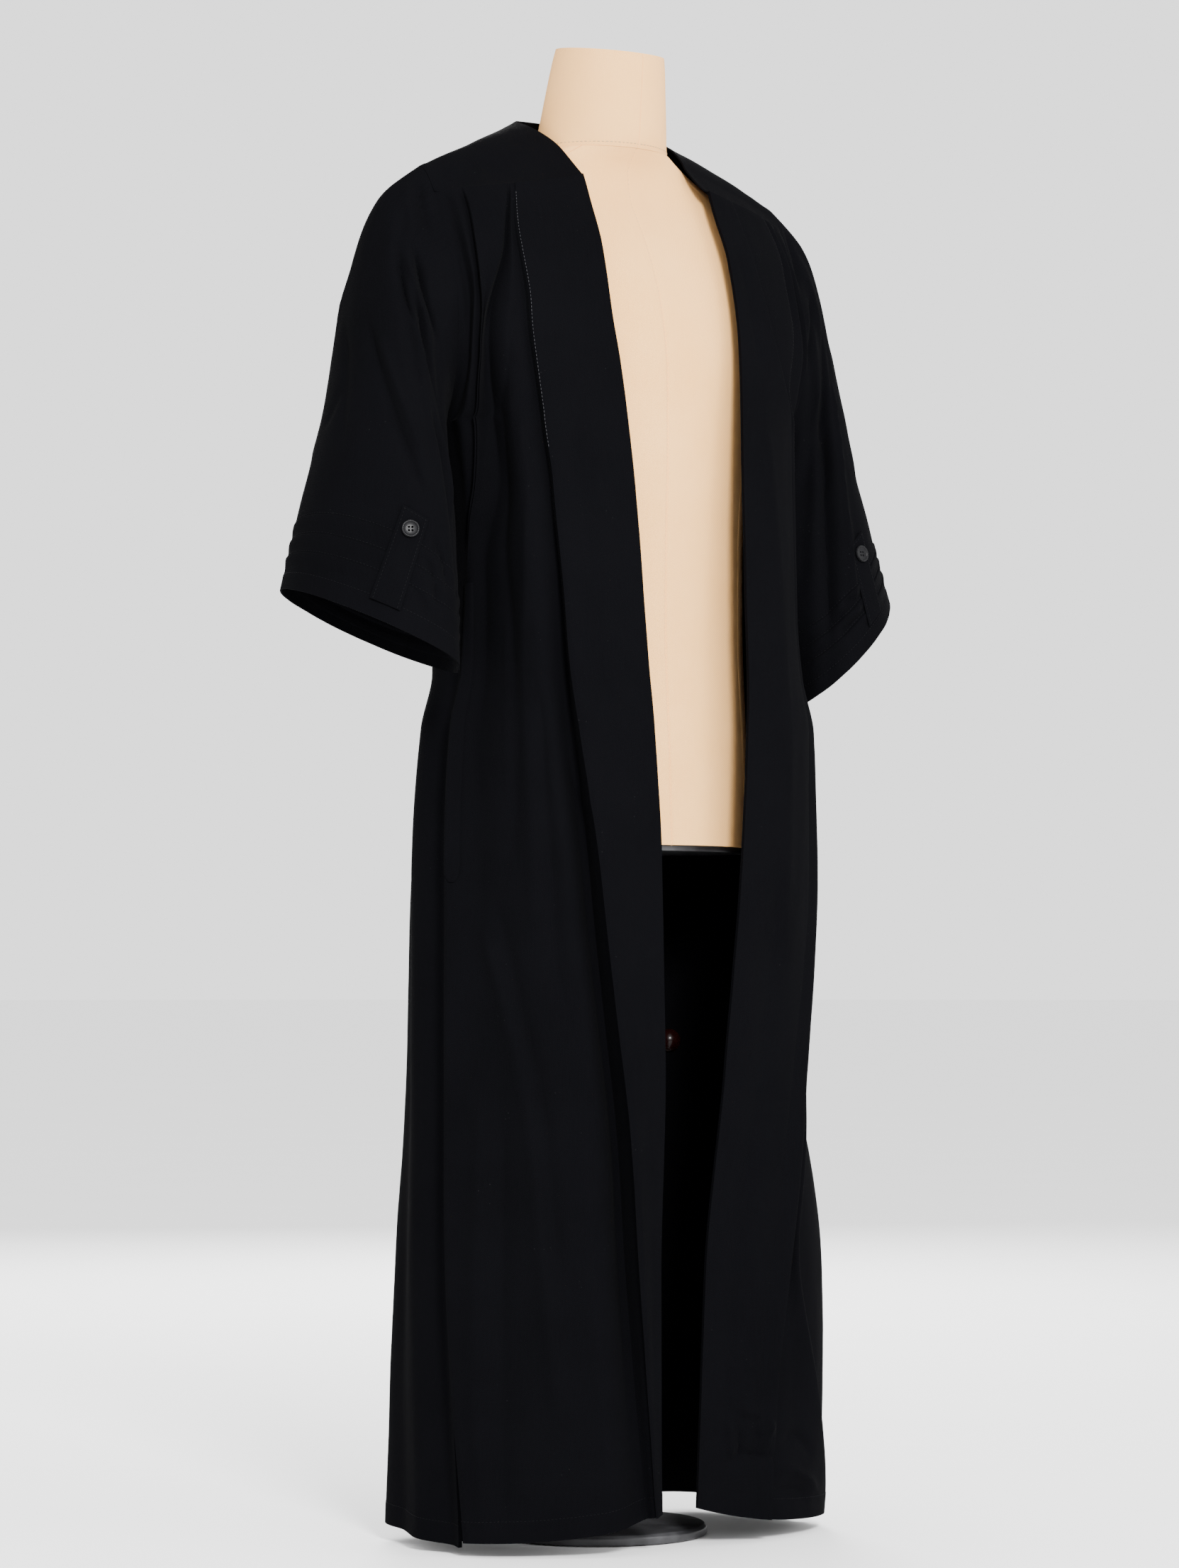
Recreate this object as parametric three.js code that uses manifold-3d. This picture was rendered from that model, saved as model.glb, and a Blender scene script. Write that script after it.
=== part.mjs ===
// Barrister gown, worn open on a limbless dress form that stands on its own pole and base.
// Millimetres, +Z up. The origin is on the floor under the pole, the front faces -Y,
// and the wearer's right is -X. Every piece of cloth is a thin wall over a body surface
// that the section tables below describe.
import * as THREE from "three";
import { mergeVertices } from "three/addons/utils/BufferGeometryUtils.js";
import Module from "manifold-3d";

// Driving sizes
const CLOTH = 1.8; // panel wall
const BAND_CLOTH = 1.5; // front band and tab wall
const SEAM = 0.3; // gap between pieces
const YOKE_SEAM = 0.5; // the yoke's curved seams open wider, so that they clear between corners
const YOKE_FRONT_Z = { neck: 1315, arm: 1289 }; // front yoke seam, at its two ends
const YOKE_BACK_SAG = 37; // how far the back yoke seam dips at the centre
const UNDERARM_TO_EDGE_Z = 1078; // height on the front edge level with the underarm
const HEM = { frontEdge: 36, frontSide: 13, backSide: 7, backCentre: 22, fall: 2.5 };
// Rows of a panel: the yoke seam is at 0, the underarm at 1 and the hem at 2.
const PANEL_ROWS = [
  0, 0.13, 0.28, 0.44, 0.6, 0.75, 0.88, 1, 1.07, 1.14, 1.22, 1.32, 1.42, 1.54, 1.68, 1.84, 2,
];
const STEPS_PER_FOLD = 2;
const ARMHOLE_PULL = 0.6; // share of a panel's width from which its lines follow the armhole
const SLEEVE_COLUMNS = 24;
const TUCK_DEPTH = 1.2;
const TUCKS_AT = [0.852, 0.888, 0.924]; // along the sleeve, armhole 0 to rim 1
const TUCK_EDGE = 0.007;
const TUCK_FADE = 0.028; // how far along the sleeve a tuck's step takes to thin out
// Each tab's ends along the sleeve, their angles round it, and its button's place along the sleeve.
const TAB = {
  right: { top: 0.8, bottom: 0.972, psiTop: 49, psiBottom: 27, button: 0.835 },
  left: { top: 0.767, bottom: 0.957, psiTop: 67, psiBottom: 54, button: 0.803 },
};
const TAB_HALF_WIDTH = 9; // in degrees round the sleeve
const BUTTON = { radius: 8.5, thickness: 3.2, rim: 1.6, hole: 1.1, holeRing: 2.3 };
const WELT = { from: 1.14, to: 1.42, cloth: 2.4, gap: 0.45 };
const POLE_RADIUS = 12.5;
const BASE = { radius: 105, thickness: 10, edge: 3 };
const PLATE = { thickness: 5, inset: 6 };
const KNOB = { z: 478, x: 55, y: -40, ball: 11.7, collar: 20, collarHeight: 32, screw: 4 };
const ROUND_SIDES = 32;

const RIGHT = -1;
const LEFT = 1;

function table(columns, rows) {
  const names = columns.split(" ");
  return rows.map((row) => Object.fromEntries(names.map((name, i) => [name, row[i]])));
}

// Plan sections of the body of the gown: half-widths to the wearer's right and left, depth to the
// front and back, how square the plan is, where the two front edges lie, and how far the side
// seams lie in front of the middle.
const BODY = table("z right left front back square edge_right edge_left seam_right seam_left", [
  [1320, 204, 206, 64, 74, 2.0, 66, 90, 0, 0],
  [1289, 222, 222, 78, 88, 2.0, 67, 89, 0, 0],
  [1241, 233, 233, 103, 112, 2.0, 70, 88, 0, 0],
  [1180, 236, 236, 119, 126, 2.1, 71, 86, 0, 0],
  [1120, 217, 217, 130, 132, 2.2, 67, 81, 0, 0],
  [1070, 195, 195, 136, 132, 2.4, 64, 77, 0, 0],
  [1000, 184, 189, 140, 126, 2.6, 59, 74, 12, 12],
  [900, 175, 187, 144, 112, 2.7, 53, 73, 14, 14],
  [834, 174, 192, 148, 104, 2.7, 50, 72, 12, 14],
  [780, 186, 206, 150, 108, 2.7, 46, 69, 14, 16],
  [640, 198, 207, 153, 112, 2.7, 39, 58, 23, 23],
  [450, 200, 199, 156, 116, 2.7, 38, 38, 28, 28],
  [250, 206, 220, 157, 124, 2.7, 44, 16, 38, 36],
  [20, 210, 224, 154, 130, 2.7, 41, 14, 56, 44],
]);

// Sleeve rings from armhole to rim. The tilt is that of the ring's plane, the turn swings the
// outer face of the cuff to the front, the pinch narrows the front near the shoulder, and the
// dip is how much lower the front of the ring hangs than its middle.
const RING = "at x y z tilt thick front back turn pinch dip";
const UPPER_SLEEVE = [
  [0.0, 205, 0, 1192, 85.8, 124.3, 53, 58, 0, 0.4, 0],
  [0.14, 224.5, 3, 1168, 76.8, 121, 56, 66, 0, 0.25, 0],
  [0.28, 233, 6, 1139, 70.7, 109, 60, 72, 0, 0.1, 0],
  [0.45, 238, 8, 1089, 63, 92, 70, 76, 3, 0, 1],
  [0.62, 244, 4, 1030, 54, 82, 82, 80, 9, 0, 4],
];
const SLEEVE = {
  right: table(RING, [
    ...UPPER_SLEEVE,
    [0.8, 261, -7, 953, 38, 75, 90, 86, 20, 0, 14],
    [1.0, 277, -16, 866, 17, 70, 95, 92, 30, 0, 34],
  ]),
  left: table(RING, [
    ...UPPER_SLEEVE,
    [0.8, 261, -7, 953, 44, 78, 88, 86, 20, 0, 14],
    [1.0, 279, -16, 868, 42, 82, 92, 90, 30, 0, 27],
  ]),
};
const ARMHOLE = SLEEVE.right[0];

// Soft folds of a sleeve: where each runs, in degrees from the shoulder point towards the front,
// at the head, the middle and the rim, with its depth there and its width in degrees.
const SLEEVE_FOLDS = table("head middle rim depth_head depth_middle depth_rim width", [
  [28, 62, 78, -2, -4, -1, 10],
  [50, 88, 104, -3, -7, -3, 11],
  [74, 118, 134, -2, -6, -5, 13],
  [-34, -58, -70, -2, -4, -2, 13],
  [-62, -98, -112, -2, -5, -3, 15],
  [8, 14, 20, -1, -2, 0, 12],
]);

// Folds of the panels, each a line that the cloth's section passes through: its share of the
// panel's width at five heights from the yoke to the hem, and how far out it stands at four.
const FOLD_STATIONS = [0, 0.5, 1.2, 1.6, 2];
const FOLD_COLUMNS = "s0 s1 s2 s3 s4 o1 o2 o3 o4";
const FOLDS_RIGHT = table(FOLD_COLUMNS, [
  [0, 0, 0, 0, 0, 0, 0, 0, 0],
  [0.3, 0.24, 0.2, 0.1, 0.02, 2, 3, 2, 1],
  [0.63, 0.46, 0.4, 0.21, 0.05, 3, 4, 7, 3],
  [0.64, 0.475, 0.41, 0.22, 0.07, -1, -2, -6, -3],
  [0.655, 0.6, 0.48, 0.3, 0.19, -4, -4, -9, -5],
  [0.76, 0.645, 0.6, 0.45, 0.32, 3, 4, 3, 4],
  [0.87, 0.685, 0.69, 0.56, 0.46, -5, -3, -1, -3],
  [0.92, 0.73, 0.8, 0.74, 0.66, 2, 5, 4, 5],
  [0.95, 0.775, 0.955, 0.985, 0.985, 6, 8, 6, 5],
  [0.965, 0.8, 0.972, 0.992, 0.992, -4, -3, 3, 3],
  [0.98, 0.89, 0.985, 0.996, 0.996, 1, -1, 1, 1],
  [1, 1, 1, 1, 1, 0, 0, 0, 0],
]);
const FOLDS_LEFT = table(FOLD_COLUMNS, [
  [0, 0, 0, 0, 0, 0, 0, -5, -18],
  [0.26, 0.27, 0.42, 0.36, 0.22, 3, 4, 0, -4],
  [0.64, 0.46, 0.62, 0.6, 0.42, 3, 6, 8, 6],
  [0.65, 0.475, 0.635, 0.612, 0.44, -2, -3, -5, -4],
  [0.7, 0.56, 0.7, 0.68, 0.56, -5, -6, -8, -6],
  [0.76, 0.64, 0.77, 0.76, 0.68, 5, 5, 3, 5],
  [0.82, 0.7, 0.82, 0.83, 0.8, -5, -1, -4, -3],
  [0.9, 0.86, 0.87, 0.88, 0.9, 4, 15, 6, 7],
  [0.95, 0.94, 0.975, 0.98, 0.98, 5, 3, 6, 5],
  [1, 1, 1, 1, 1, 0, 0, 0, 0],
]);
const FOLDS_BACK = table(FOLD_COLUMNS, [
  [0, 0, 0, 0, 0, 0, 0, 0, 0],
  [0.02, 0.02, 0.02, 0.02, 0.02, -3, -5, -5, -4],
  [0.08, 0.08, 0.07, 0.07, 0.07, 3, 4, 5, 6],
  [0.15, 0.15, 0.14, 0.13, 0.13, -3, -1, -3, -4],
  [0.21, 0.21, 0.2, 0.2, 0.19, 4, 5, 7, 8],
  [0.28, 0.28, 0.28, 0.27, 0.27, -5, -5, -5, -5],
  [0.34, 0.34, 0.35, 0.35, 0.36, 5, 7, 8, 9],
  [0.41, 0.41, 0.42, 0.42, 0.43, -5, -5, -6, -7],
  [0.5, 0.5, 0.5, 0.5, 0.5, 5, 8, 9, 9],
  [0.58, 0.59, 0.58, 0.58, 0.57, -5, -6, -5, -6],
  [0.66, 0.66, 0.66, 0.65, 0.64, 5, 6, 8, 9],
  [0.72, 0.72, 0.73, 0.73, 0.73, -5, -4, -5, -5],
  [0.79, 0.79, 0.8, 0.81, 0.81, 4, 6, 7, 8],
  [0.86, 0.85, 0.86, 0.87, 0.87, -3, -2, -3, -4],
  [0.92, 0.92, 0.93, 0.93, 0.93, 3, 4, 5, 6],
  [0.98, 0.98, 0.98, 0.98, 0.98, -3, -5, -5, -4],
  [1, 1, 1, 1, 1, 0, 0, 0, 0],
]);
const BAND_FOLD = 2; // the fold, counted from the front edge, where each front band ends
const BAND_LIFT = { right: 3, left: 2 }; // how far the released band's edge stands off

// Neck edge of the yoke, from the front seam over the shoulder to the centre back, and how far
// along the yoke's outer edge each rib ends: 0 front seam, 1 shoulder, 2 back seam, 3 centre back.
const YOKE_RIBS = table("outer x y z rise", [
  [0, 66, -60, 1315, 0],
  [0.5, 74, -31, 1348, 2],
  [1, 80, 4, 1369, 3],
  [1.5, 75, 33, 1379, 2],
  [2, 64, 50, 1384, 0],
  [2.33, 46, 61, 1387, 2],
  [2.66, 24, 68, 1389, 3],
  [3, 0, 70, 1390, 3],
]);
const YOKE_NECK_LEFT = 84; // half-width of the neck opening on the wearer's left
const YOKE_STEPS = 11;

// The dress form's plan sections from its base to its shoulders, and its neck.
const TORSO = table("z half front back y", [
  [667, 164, 118, 104, 0],
  [760, 162, 114, 98, 0],
  [880, 158, 108, 90, 0],
  [960, 158, 109, 90, 0],
  [1050, 164, 112, 98, 0],
  [1120, 172, 112, 104, 0],
  [1180, 182, 104, 104, 0],
  [1230, 190, 88, 96, 0],
  [1265, 190, 71, 82, 0],
  [1288, 184, 57, 66, 0],
  [1305, 160, 50, 60, 0],
  [1327, 118, 48, 60, 0],
  [1347.2, 74, 62, 62, 0],
]);
const NECK = table("z half front back y", [
  [1347.5, 70, 62, 62, 0],
  [1356, 66, 64, 62, -2],
  [1378, 63, 62, 60, -6],
  [1408, 59, 59, 58, -11],
  [1436, 55, 56, 56, -16],
  [1447, 53, 54, 54, -18],
]);
const NECK_TOP_SLOPE = 0.15;

// Smooth curve through a table's column that never runs past the values of its rows.
function track(rows, key, at, column) {
  const falling = rows[0][key] > rows[rows.length - 1][key];
  const passed = (row) => (falling ? row[key] >= at : row[key] <= at);
  const i = THREE.MathUtils.clamp(rows.findLastIndex(passed), 0, rows.length - 2);
  const secant = (j) => (rows[j + 1][column] - rows[j][column]) / (rows[j + 1][key] - rows[j][key]);
  const slope = (j) => {
    const before = secant(Math.max(j - 1, 0));
    const after = secant(Math.min(j, rows.length - 2));
    return before * after > 0 ? (2 * before * after) / (before + after) : 0;
  };
  const span = rows[i + 1][key] - rows[i][key];
  const f = THREE.MathUtils.clamp((at - rows[i][key]) / span, 0, 1);
  const rise = f * f * (3 - 2 * f);
  return (
    rows[i][column] * (1 - rise) +
    rows[i + 1][column] * rise +
    span * (slope(i) * f * (1 - f) ** 2 - slope(i + 1) * f * f * (1 - f))
  );
}

function mix(a, b, share) {
  return a + (b - a) * share;
}

function radians(degrees) {
  return (degrees * Math.PI) / 180;
}

function sideName(side) {
  return side < 0 ? "right" : "left";
}

// Point and outward normal of the body's plan at a height, at a bearing from the front (0) round
// the wearer's left (90 degrees) or right (-90) to the back (180).
function planPoint(z, bearing) {
  const s = Math.sin(bearing);
  const c = Math.cos(bearing);
  const half = track(BODY, "z", z, s < 0 ? "right" : "left");
  const depth = track(BODY, "z", z, c > 0 ? "front" : "back");
  const n = track(BODY, "z", z, "square");
  const radius = ((Math.abs(s) / half) ** n + (Math.abs(c) / depth) ** n) ** (-1 / n);
  const point = new THREE.Vector3(radius * s, -radius * c, z);
  const normal = new THREE.Vector3(
    (Math.sign(s) * (Math.abs(radius * s) / half) ** (n - 1)) / half,
    (-Math.sign(c) * (Math.abs(radius * c) / depth) ** (n - 1)) / depth,
    0,
  );
  return { point, normal: normal.normalize() };
}

function frontEdgeBearing(side, z) {
  const name = sideName(side);
  const x = track(BODY, "z", z, "edge_" + name);
  const half = track(BODY, "z", z, name);
  const n = track(BODY, "z", z, "square");
  const y = track(BODY, "z", z, "front") * (1 - (x / half) ** n) ** (1 / n);
  return side * Math.atan2(x, y);
}

function sideSeamPoint(side, z) {
  const name = sideName(side);
  const y = track(BODY, "z", z, "seam_" + name);
  const half = track(BODY, "z", z, name);
  const n = track(BODY, "z", z, "square");
  const x = half * (1 - (y / track(BODY, "z", z, "front")) ** n) ** (1 / n);
  return new THREE.Vector3(side * x, -y, z);
}

// Point of a sleeve's ring: psi is 0 at the shoulder point, 90 at the front, 180 at the underarm.
function ringPoint(side, at, psi) {
  const of = (column) => track(SLEEVE[sideName(side)], "at", at, column);
  const tilt = radians(of("tilt"));
  const turn = radians(of("turn"));
  const c = Math.cos(radians(psi));
  const s = Math.sin(radians(psi));
  const out = of("thick") * c;
  const across = of(s > 0 ? "front" : "back") * s * (1 - of("pinch") * Math.max(c, 0));
  return new THREE.Vector3(
    side * (of("x") + out * Math.cos(turn) * Math.cos(tilt) - across * Math.sin(turn)),
    of("y") - out * Math.sin(turn) * Math.cos(tilt) - across * Math.cos(turn),
    of("z") + out * Math.sin(tilt) - of("dip") * s,
  );
}

// Angle on the armhole where the yoke's front seam ends. Its back seam ends at the same height.
const YOKE_PSI = THREE.MathUtils.radToDeg(
  Math.acos((YOKE_FRONT_Z.arm - ARMHOLE.z) / ARMHOLE.thick),
);

// Outer edge of a panel: down the armhole (t 0 to 1), then down the side seam (t 1 to 2).
function panelSide(side, facing, t) {
  if (t <= 1) return ringPoint(side, 0, facing * mix(YOKE_PSI, 180, t));
  const hem = facing > 0 ? HEM.frontSide : HEM.backSide;
  return sideSeamPoint(side, mix(ARMHOLE.z - ARMHOLE.thick, hem, t - 1));
}

function bearingOf(point) {
  return Math.atan2(point.x, -point.y);
}

// Bearing that a panel's side edge counts as at a nearness to it, from the panel's far edge (0)
// to the edge itself (1): the hollow of the armhole pulls only the cloth beside it along.
function sideBearing(side, facing, t, nearness) {
  const seam = panelSide(side, facing, t);
  if (t >= 1) return bearingOf(seam);
  const top = panelSide(side, facing, 0);
  const bottom = panelSide(side, facing, 1);
  const down = (top.z - seam.z) / (top.z - bottom.z);
  const straight = mix(bearingOf(top), bearingOf(bottom), down);
  return mix(straight, bearingOf(seam), THREE.MathUtils.smoothstep(nearness, ARMHOLE_PULL, 1));
}

// Base surface of a front panel, without its folds: share 0 at the front edge, 1 at the side.
function frontBase(side, share, t) {
  const edgeZ =
    t <= 1
      ? mix(YOKE_FRONT_Z.neck, UNDERARM_TO_EDGE_Z, t)
      : mix(UNDERARM_TO_EDGE_Z, HEM.frontEdge, t - 1);
  const seam = panelSide(side, 1, t);
  const rest = 1 - share;
  const fall = Math.max(t - 1, 0) * (HEM.frontEdge - HEM.frontSide) * (rest - rest ** HEM.fall);
  const z = mix(edgeZ, seam.z, share) - fall;
  const from = frontEdgeBearing(side, edgeZ);
  const base = planPoint(z, mix(from, sideBearing(side, 1, t, share), share));
  const end = planPoint(seam.z, bearingOf(seam)).point;
  const pull = THREE.MathUtils.smoothstep(share, 0.5, 1);
  base.point.addScaledVector(seam.clone().sub(end), pull);
  return base;
}

// Base surface of the back: share 0 at the right side, 1 at the left side.
function backBase(share, t) {
  const right = panelSide(RIGHT, -1, t);
  const left = panelSide(LEFT, -1, t);
  const bow = 4 * share * (1 - share);
  const sag = t <= 1 ? -YOKE_BACK_SAG * (1 - t) ** 2 : (HEM.backCentre - HEM.backSide) * (t - 1);
  const z = mix(right.z, left.z, share) + sag * bow;
  const from = sideBearing(RIGHT, -1, t, 1 - share);
  const to = sideBearing(LEFT, -1, t, share) - 2 * Math.PI;
  const base = planPoint(z, mix(from, to, share));
  for (const [seam, nearness] of [[right, 1 - share], [left, share]]) {
    const end = planPoint(seam.z, bearingOf(seam)).point;
    const pull = THREE.MathUtils.smoothstep(nearness, 0.75, 1);
    base.point.addScaledVector(seam.clone().sub(end), pull);
  }
  return base;
}

// A fold line's share or outward stand at a height, growing from nothing at the yoke seam.
function foldAt(fold, letter, t) {
  const rows = FOLD_STATIONS.map((at, i) => ({ at, value: fold[letter + i] ?? 0 }));
  return track(rows, "at", t, "value");
}

// Share and stand of a panel's section between its fold lines: k counts the lines.
function sectionAt(folds, k, t) {
  const rows = folds.map((fold, i) => ({
    i,
    share: foldAt(fold, "s", t),
    out: foldAt(fold, "o", t),
  }));
  return { share: track(rows, "i", k, "share"), out: track(rows, "i", k, "out") };
}

// The folds lie flat beside the underarm, where the sleeve hangs close to the panel.
function panelPoint(base, folds, k, t, lift = 0) {
  const { smoothstep } = THREE.MathUtils;
  const section = sectionAt(folds, k, t);
  const sides = base === backBase ? Math.max(section.share, 1 - section.share) : section.share;
  const armpit = smoothstep(t, 0.4, 0.75) * (1 - smoothstep(t, 1.1, 1.3));
  const out = section.out * (1 - armpit * smoothstep(sides, 0.76, 0.9));
  const { point, normal } = base(section.share, t);
  return { point: point.addScaledVector(normal, out + lift), normal };
}

// Closed wall between a grid of outer points and the same grid moved in along given directions.
// A grid is a list of rows. Where wrap is true, each row closes on itself.
function wallGeometry(outer, inner, wrap = false) {
  const rows = outer.length;
  const columns = outer[0].length;
  const positions = [];
  const index = [];
  for (const grid of [outer, inner])
    for (const row of grid) for (const p of row) positions.push(p.x, p.y, p.z);
  const at = (layer, r, c) => (layer * rows + r) * columns + (c % columns);
  const quad = (a, b, c, d) => index.push(a, b, c, a, c, d);
  const spans = wrap ? columns : columns - 1;
  for (let r = 0; r < rows - 1; r++)
    for (let c = 0; c < spans; c++) {
      quad(at(0, r, c), at(0, r + 1, c), at(0, r + 1, c + 1), at(0, r, c + 1));
      quad(at(1, r, c), at(1, r, c + 1), at(1, r + 1, c + 1), at(1, r + 1, c));
    }
  for (let c = 0; c < spans; c++) {
    quad(at(0, 0, c), at(0, 0, c + 1), at(1, 0, c + 1), at(1, 0, c));
    const last = rows - 1;
    quad(at(0, last, c), at(1, last, c), at(1, last, c + 1), at(0, last, c + 1));
  }
  if (!wrap)
    for (let r = 0; r < rows - 1; r++) {
      const last = columns - 1;
      quad(at(0, r, 0), at(1, r, 0), at(1, r + 1, 0), at(0, r + 1, 0));
      quad(at(0, r, last), at(0, r + 1, last), at(1, r + 1, last), at(1, r, last));
    }
  const geometry = new THREE.BufferGeometry();
  geometry.setAttribute("position", new THREE.Float32BufferAttribute(positions, 3));
  geometry.setIndex(index);
  return facingOut(geometry);
}

function signedVolume(geometry) {
  const p = geometry.getAttribute("position");
  const index = geometry.getIndex();
  const corner = [0, 1, 2].map(() => new THREE.Vector3());
  let volume = 0;
  for (let i = 0; i < index.count; i += 3) {
    corner.forEach((v, j) => v.fromBufferAttribute(p, index.getX(i + j)));
    volume += corner[0].dot(corner[1].clone().cross(corner[2])) / 6;
  }
  return volume;
}

function facingOut(geometry) {
  if (signedVolume(geometry) < 0) {
    const index = geometry.getIndex();
    for (let i = 0; i < index.count; i += 3) {
      const second = index.getX(i + 1);
      index.setX(i + 1, index.getX(i + 2));
      index.setX(i + 2, second);
    }
  }
  geometry.computeVertexNormals();
  return geometry;
}

// Surface normals of a grid from its neighbours, pointing the same way as the given guides.
function gridNormals(grid, guides, wrap = false) {
  const rows = grid.length;
  const columns = grid[0].length;
  return grid.map((row, r) =>
    row.map((_, c) => {
      const before = wrap ? (c + columns - 1) % columns : Math.max(c - 1, 0);
      const after = wrap ? (c + 1) % columns : Math.min(c + 1, columns - 1);
      const across = row[after].clone().sub(row[before]).normalize();
      const down = grid[Math.min(r + 1, rows - 1)][c].clone().sub(grid[Math.max(r - 1, 0)][c]);
      const normal = across.cross(down).normalize();
      return normal.dot(guides[r][c]) < 0 ? normal.negate() : normal;
    }),
  );
}

function movedIn(grid, normals, thickness) {
  return grid.map((row, r) =>
    row.map((p, c) => p.clone().addScaledVector(normals[r][c], -thickness)),
  );
}

// At the yoke seams both pieces share one direction through the cloth, which leans up.
const SEAM_LEAN = 0.75;
function seamNormal(normal) {
  return normal.clone().add(new THREE.Vector3(0, 0, SEAM_LEAN)).normalize();
}

// Moves a point of a yoke seam half the gap up or down the cloth.
function offSeam(point, normal, direction) {
  const up = new THREE.Vector3(0, 0, 1);
  up.addScaledVector(normal, -up.dot(normal)).normalize();
  return point.addScaledVector(up, (direction * YOKE_SEAM) / 2);
}

// One sewn panel: fold lines across, rows from the yoke seam to the hem.
function panelGrid(base, folds) {
  const columns = (folds.length - 1) * STEPS_PER_FOLD;
  const outer = [];
  const guides = [];
  for (const t of PANEL_ROWS) {
    const row = [];
    const normals = [];
    for (let c = 0; c <= columns; c++) {
      const { point, normal } = panelPoint(base, folds, c / STEPS_PER_FOLD, t);
      if (t === 0) offSeam(point, seamNormal(normal), -1);
      row.push(point);
      normals.push(normal);
    }
    outer.push(row);
    guides.push(normals);
  }
  return { outer, guides };
}

function panelGeometry(base, folds, edgeShift) {
  const { outer, guides } = panelGrid(base, folds);
  const normals = gridNormals(outer, guides);
  const last = outer[0].length - 1;
  outer.forEach((row, r) => {
    for (const c of [0, last]) normals[r][c] = guides[r][c];
    edgeShift(row, r);
  });
  normals[0] = guides[0].map(seamNormal);
  return wallGeometry(outer, movedIn(outer, normals, CLOTH));
}

// Shrinks a row at one end so that the seam gap opens there.
function openSeam(row, end) {
  const c = end < 0 ? 0 : row.length - 1;
  const away = row[c + (end < 0 ? 1 : -1)].clone().sub(row[c]).normalize();
  row[c].addScaledVector(away, SEAM / 2 + 0.05);
}

const frontOf = (side) => (share, t) => frontBase(side, share, t);
const foldsOf = (side) => (side < 0 ? FOLDS_RIGHT : FOLDS_LEFT);

function frontGeometry(side) {
  return panelGeometry(frontOf(side), foldsOf(side), (row) => openSeam(row, 1));
}

function backGeometry() {
  return panelGeometry(backBase, FOLDS_BACK, (row) => {
    openSeam(row, -1);
    openSeam(row, 1);
  });
}

// The band lies on the front panel, so it is the panel's own points moved out.
function bandGeometry(side) {
  const columns = BAND_FOLD * STEPS_PER_FOLD;
  const outer = [];
  const guides = [];
  for (const t of PANEL_ROWS) {
    const released = THREE.MathUtils.smoothstep(t, 1, 1.4);
    const row = [];
    const normals = [];
    for (let c = 0; c <= columns; c++) {
      const k = c / STEPS_PER_FOLD;
      const lift = released * BAND_LIFT[sideName(side)] * (c / columns) ** 2;
      const { point, normal } = panelPoint(frontOf(side), foldsOf(side), k, t, lift);
      if (t === 0) offSeam(point, seamNormal(normal), -1);
      row.push(point);
      normals.push(normal);
    }
    outer.push(row);
    guides.push(normals);
  }
  const normals = gridNormals(outer, guides);
  outer.forEach((row, r) => {
    normals[r][0] = guides[r][0];
    normals[r][columns] = guides[r][columns];
  });
  normals[0] = guides[0].map(seamNormal);
  const inner = movedIn(outer, normals, -SEAM);
  return wallGeometry(movedIn(outer, normals, -SEAM - BAND_CLOTH), inner);
}

// A welt is a narrow strip of the front panel's points beside the side seam, moved out.
function weltGeometry(side) {
  const folds = foldsOf(side);
  const last = folds.length - 1;
  const outer = [];
  const guides = [];
  const { from, to } = WELT;
  for (const t of PANEL_ROWS.filter((row) => row >= from && row <= to)) {
    const row = [];
    const normals = [];
    for (const k of [last - 3.5, last - 3, last - 2.5]) {
      const { point, normal } = panelPoint(frontOf(side), folds, k, t);
      row.push(point);
      normals.push(normal);
    }
    outer.push(row);
    guides.push(normals);
  }
  const normals = gridNormals(outer, guides);
  const inner = movedIn(outer, normals, -WELT.gap);
  return wallGeometry(movedIn(outer, normals, -WELT.gap - WELT.cloth), inner);
}

// Outer edge of half the yoke: the front seam is the front panel's top, the armhole is the
// sleeve's ring, and the back seam is the back panel's top.
function yokeOuter(side, along) {
  if (along < 2) return ringPoint(side, 0, mix(YOKE_PSI, -YOKE_PSI, along / 2));
  const share = (along - 2) / 2;
  return backBase(side < 0 ? share : 1 - share, 0).point;
}

function yokeRib(side, along) {
  const ribs = YOKE_RIBS.map((rib) => ({ ...rib }));
  const widen = side > 0 ? YOKE_NECK_LEFT / YOKE_RIBS[2].x : 1;
  const neckX = track(ribs, "outer", along, "x") * widen;
  const neck = new THREE.Vector3(
    side * neckX,
    track(ribs, "outer", along, "y"),
    track(ribs, "outer", along, "z"),
  );
  return { neck, rise: track(ribs, "outer", along, "rise") };
}

function yokeRow(side, along) {
  const points = [];
  const guides = [];
  for (let c = 0; c <= YOKE_STEPS; c++) {
    const share = c / YOKE_STEPS;
    if (along === 0) {
      const { point, normal } = frontBase(side, share, 0);
      guides.push(seamNormal(normal));
      points.push(offSeam(point, guides[c], 1));
      continue;
    }
    const { neck, rise } = yokeRib(side, along);
    const outer = yokeOuter(side, along);
    const point = neck.clone().lerp(outer, share);
    point.z += rise * 4 * share * (1 - share);
    points.push(point);
    guides.push(new THREE.Vector3(0, 0, 1));
  }
  if (along >= 2) {
    const share = (along - 2) / 2;
    const { point, normal } = backBase(side < 0 ? share : 1 - share, 0);
    guides[YOKE_STEPS] = seamNormal(normal);
    points[YOKE_STEPS] = offSeam(point, guides[YOKE_STEPS], 1);
  }
  return { points, guides };
}

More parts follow.
